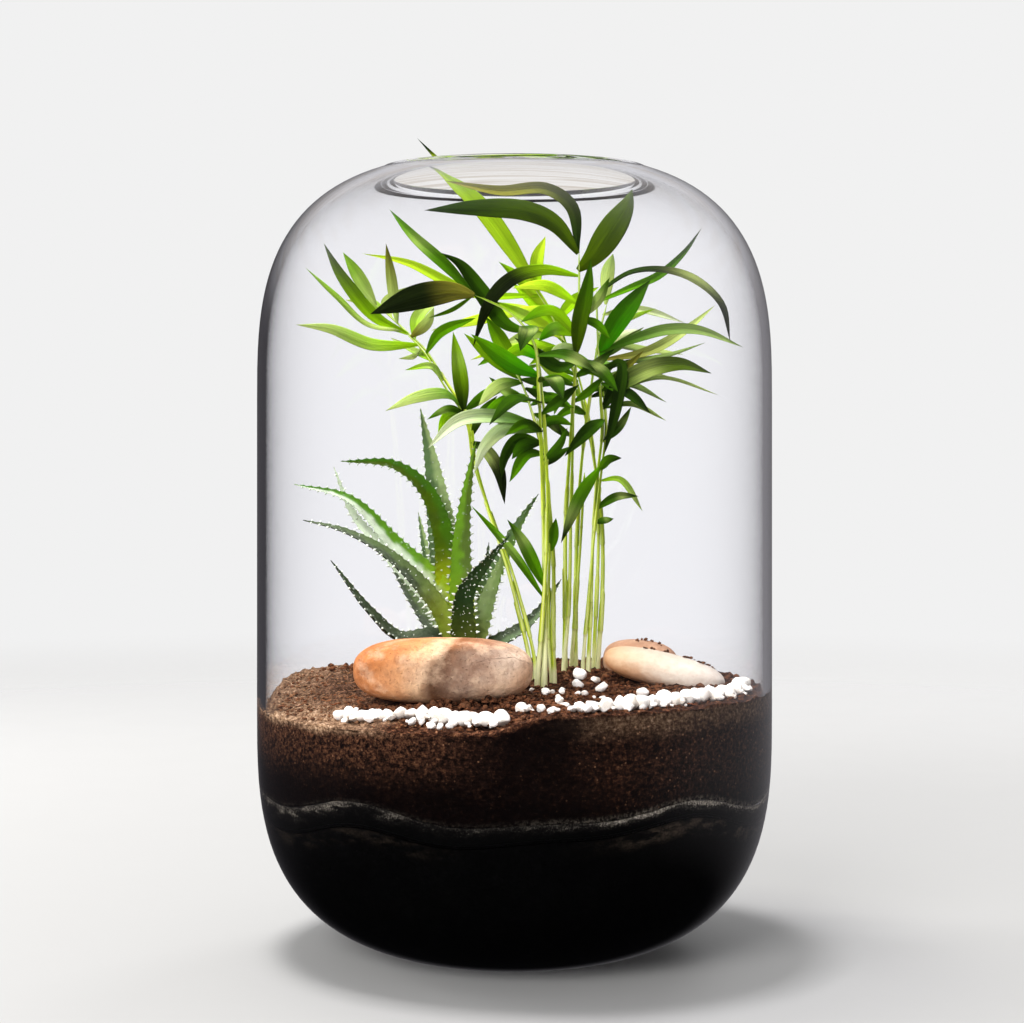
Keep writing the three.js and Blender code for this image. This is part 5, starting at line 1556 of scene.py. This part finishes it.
def leaflet(form, start, item, luck):
    """A folded blade with a wavy edge and painted shade on one half. Luck turns some of it one way
    or the other, and gives some blades a painted pale highlight."""
    _, through, width, tilt, low, high = item
    route = Route([start, *(seen(point) for point in through)])

    def ring(along):
        centre = route.point(along)
        side, up = frame_at(route.tangent(along), facing_of(tilt))
        half = between(BLADE_OUTLINE, along) * width
        change = HUE_CHANGES.get(high, OTHER_HUE_CHANGE)
        tint = tint_of(low, high, smoothstep(along, *change))
        if high == "ink":
            half *= lerp(1, 0.55, smoothstep(along, 0.7, 0.85))
        thickness = lerp(*BLADE_THICKNESS, along) * min(1, half)
        # A painted highlight: a patch along some blades that goes over to the pale hue
        painted_highlight = 0.3 * (luck < 0.35) * math.exp(-(((along - 0.35 - luck) / 0.12) ** 2))
        lit = tuple(lerp(a, b, painted_highlight) for a, b in zip(tint, hue("pale")))

        def place(around):
            angle = 2 * math.pi * around
            across = math.cos(angle)
            fold = BLADE_FOLD * half * abs(across) ** 1.3
            wave = 0.05 * half * math.sin(9 * along + 7 * luck) * across
            rise = fold + wave + thickness * math.sin(angle)
            # Painted shade: one half of the blade is darker and lets less light through
            shade = 1 - 0.5 * smoothstep(across if luck * 7 % 1 < 0.5 else -across, -0.1, 0.2)
            color = (*(c * shade for c in lit[:3]), lit[3] * (0.6 + 0.4 * shade))
            return centre + side * across * half + up * rise, color, (along, across, luck)

        return place

    form.skin(amount(32), 14, ring)


def cane(form, foot, radii, route, random, stem):
    """One slender stem of a cane, thickest at its white foot, with a thin ring at each node. Two
    stems wind round each other within the cane's thickness."""
    share_of_radius, offset, turn, end = stem
    rings = []
    along = 0.08 + 0.05 * random()
    while along < 0.9:
        rings.append(along)
        along += (NODES_APART + 14 * random()) / route.length
    pale = lerp(0.03, 0.2, (turn * 5) % 1)

    def middle(along):
        across, up = tube_ends(route.tangent(along))
        reach = lerp(*radii, along) * offset
        return route.point(along) + spoke(across, up, turn + CANE_TWIST * along) * reach

    def radius_at(along):
        return lerp(*radii, along) * (share_of_radius + 0.1 * math.exp(-along * 16))

    def ring(share):
        along = max(0, (share - CANE_BURIED) / (1 - CANE_BURIED)) * end
        centre, tangent = middle(along), route.tangent(along)
        if share < CANE_BURIED:
            centre.z = lerp(ROOT_DEPTH + 3, foot.z, share / CANE_BURIED)
            tangent = Vector((0, 0, 1))
        across, up = tube_ends(tangent)
        away = (abs(along - r) * route.length / NODE_HALF_WIDTH for r in rings)
        mark = math.exp(-(min(away) ** 2))
        radius = radius_at(along) * (1 + 0.14 * mark) * min(1, (1 - share) * 30)
        if along < 0.2:
            tint = tint_of("cane_foot", "cane", smoothstep(along, pale * 0.3, pale))
        else:
            tint = tint_of("cane", "cane_top", (along - 0.2) / 0.8)

        def place(around):
            outwards = spoke(across, up, 2 * math.pi * around)
            return centre + outwards * radius, tint, (along, around, mark * 0.7)

        return place

    form.skin(amount(150), 10, ring, 1)
    for start in rings[:4]:
        if start < end - 0.2:
            sheath(form, route, middle, radius_at, start, random)


def sheath(form, route, middle, radius_at, start, random):
    """The foot of a leaf that wraps the cane, with a pointed tip on one side."""
    length = lerp(*SHEATH_LENGTHS, random()) / route.length
    turn = 2 * math.pi * random()

    def ring(share):
        def place(around):
            angle = 2 * math.pi * around
            pointed = (0.5 + 0.5 * math.cos(angle - turn)) ** 1.5
            along = start + length * share * lerp(0.45, 1, pointed)
            across, up = tube_ends(route.tangent(along))
            over = lerp(0.2, 0.3 * pointed + 0.08, share) if 0.02 < share < 0.97 else -0.25
            outwards = spoke(across, up, angle) * (radius_at(along) + over)
            tint = tint_of("sheath", "cane", share)
            return middle(along) + outwards, tint, (along, around, 0.3 * share**6)

        return place

    form.skin(amount(28), 14, ring, 1)


def palm(name, blade, skin, random):
    """One leafy cane: a pair of stems with leaflets."""
    form = Form()
    (x, y), radius, through = CANES[name]
    radii = (radius, CANE_TIP_RADIUS)
    foot = Vector((x, y, soil_top(x, y) + 2))
    route = Route([foot, *(seen(point) for point in through)])
    turn = 6 * random()
    cane(form, foot, radii, route, random, (0.42, 0.5, turn, 1))
    cane(form, foot, radii, route, random, (0.34, 0.62, turn + math.pi, 0.5 + 0.4 * random()))
    for item in LEAFLETS[name] + FINE_LEAFLETS[name]:
        leaflet(form, route.point(route.at_height(item[0])), item, random())
    return form.piece(name + "_leaves", [blade, skin], "palm_leaf", name)


def pale_floor():
    """A floor that fades into the background and that nothing mirrors."""
    bm = bmesh.new()
    bmesh.ops.create_circle(bm, cap_ends=True, segments=96, radius=FLOOR_RADIUS)
    mesh = bpy.data.meshes.new("floor")
    bm.to_mesh(mesh)
    bm.free()
    floor = bpy.data.objects.new("floor", mesh)
    bpy.context.scene.collection.objects.link(floor)
    floor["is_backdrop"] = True
    paint = new_paint("pale_floor")
    away = paint.value("VectorMath", {"operation": "LENGTH"}, {0: paint.place()}, "Value")
    pale = paint.blend(away.rise(0.05, 0.9), (134, 134, 134), (158, 158, 158))
    shade = paint.blend(paint.noise(30, 2) * 0.1, pale, (128, 128, 128))
    mirrored = paint.value("LightPath", {}, {}, "Glossy Depth").clamped()
    solid = (1 - away.rise(0.4, 1.2)) * (1 - mirrored)
    surface = paint.surface(shade, 0.8, None, Specular_IOR_Level=0.1, Alpha=solid)
    mesh.materials.append(paint.output(surface))


def surroundings():
    """An even pale background. What the glass mirrors is dark in front and below and streaked
    behind and above. What shows through the glass is rippled, and bright through many walls."""
    world = bpy.data.worlds.new("studio")
    bpy.context.scene.world = world
    light = Paint(world)
    path = light.node("LightPath", {}, {})

    def ray(name):
        return Value(light, path.outputs[name])

    mirrored = ray("Glossy Depth").clamped()
    scattered = ray("Diffuse Depth").clamped()
    direction = light.value("TexCoord", {}, {}, "Generated")
    right, back, up = light.parts(direction)
    lit = light.blend(back.rise(-0.7, 0.8), (158, 156, 158), (255, 255, 255))
    sides = light.blend(right.rise(-0.6, 0.8), (62, 60, 64), (134, 132, 136))
    front = (1 - back.rise(-0.75, 0.1)) * 0.95
    low = light.blend(front, sides, (22, 22, 25))
    sunk = light.blend((up * -1).rise(0.1, 0.6), low, (13, 13, 15))
    streak = light.noise(2.5, 3, 0.6, direction, (1, 1, 9)).rise(0.44, 0.6)
    high = light.blend(streak * 0.5, (206, 206, 210), (176, 164, 152))
    mirror = light.blend(up.rise(0.05, 0.5) * back.rise(-0.3, 0.35), sunk, high)
    walls = ray("Transmission Depth").rise(2.4, 3.6)
    ripple = light.noise(1, 3, 0.6, direction, (9, 9, 320)).rise(0.42, 0.62)
    single = light.blend(ripple, (242, 240, 236), (214, 206, 196))
    behind = light.blend(walls, single, (254, 254, 255))
    clear = light.blend(ray("Is Camera Ray"), behind, (241, 241, 241))
    pale = light.blend(mirrored, clear, mirror)
    color = light.blend(scattered, pale, lit)
    above = up.rise(0.1, 0.6) * back.rise(-0.2, 0.4) * mirrored
    strength = scattered * 0.45 + above * 0.1 + ray("Transmission Depth").clamped() * 0.04 + 1
    background = light.value("Background", {}, {"Color": color, "Strength": strength})
    light.node("OutputWorld", {}, {"Surface": background})


def lamps():
    """A small bright light above and soft ones around, which the eye and the glass don't show."""
    for name, (place, size, power, colour) in LIGHTS.items():
        data = bpy.data.lights.new(name, "AREA")
        data.shape = "RECTANGLE"
        data.size, data.size_y = size
        data.energy = power
        data.color = colour
        lamp = bpy.data.objects.new(name, data)
        lamp.location = place
        aim = LIGHT_AIM - Vector(place)
        lamp.rotation_euler = aim.to_track_quat("-Z", "Y").to_euler()
        lamp.visible_camera = False
        lamp.visible_transmission = False
        lamp.visible_glossy = False
        bpy.context.scene.collection.objects.link(lamp)


def front_camera():
    """The camera, level and in front of the jar."""
    data = bpy.data.cameras.new("camera")
    camera = bpy.data.objects.new("camera", data)
    bpy.context.scene.collection.objects.link(camera)
    camera.location = (0, -EYE_DISTANCE * METRES, EYE_HEIGHT * METRES)
    camera.rotation_euler = (math.pi / 2, 0, 0)
    width, height = IMAGE_SIZE
    data.sensor_width = SENSOR_WIDTH
    data.lens = SENSOR_WIDTH * FOCAL_PIXELS / width
    data.shift_x = (width / 2 - AXIS_COLUMN) / width
    data.shift_y = (HORIZON_ROW - height / 2) / width
    bpy.context.scene.camera = camera


def main():
    glass_jar()
    layers()
    stone("stone_front", front_stone_paint(), "tan_stone")
    stone("stone_right", pale_stone_paint(), "pale_stone")
    stone("stone_rear", rear_stone_paint(), "tan_stone")
    pebbles(pebble_paint())
    scatter()
    fibres()
    aloe()
    random = random_row("palm")
    blade, skin = blade_paint(), cane_paint()
    for name in CANES:
        palm(name, blade, skin, random)
    bpy.context.scene.view_settings.view_transform = "Standard"
    pale_floor()
    surroundings()
    lamps()
    front_camera()


main()
boxes = {"cad": CAD_BOX, "visual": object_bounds()}
{key: [list(corner) for corner in box] for key, box in boxes.items()}
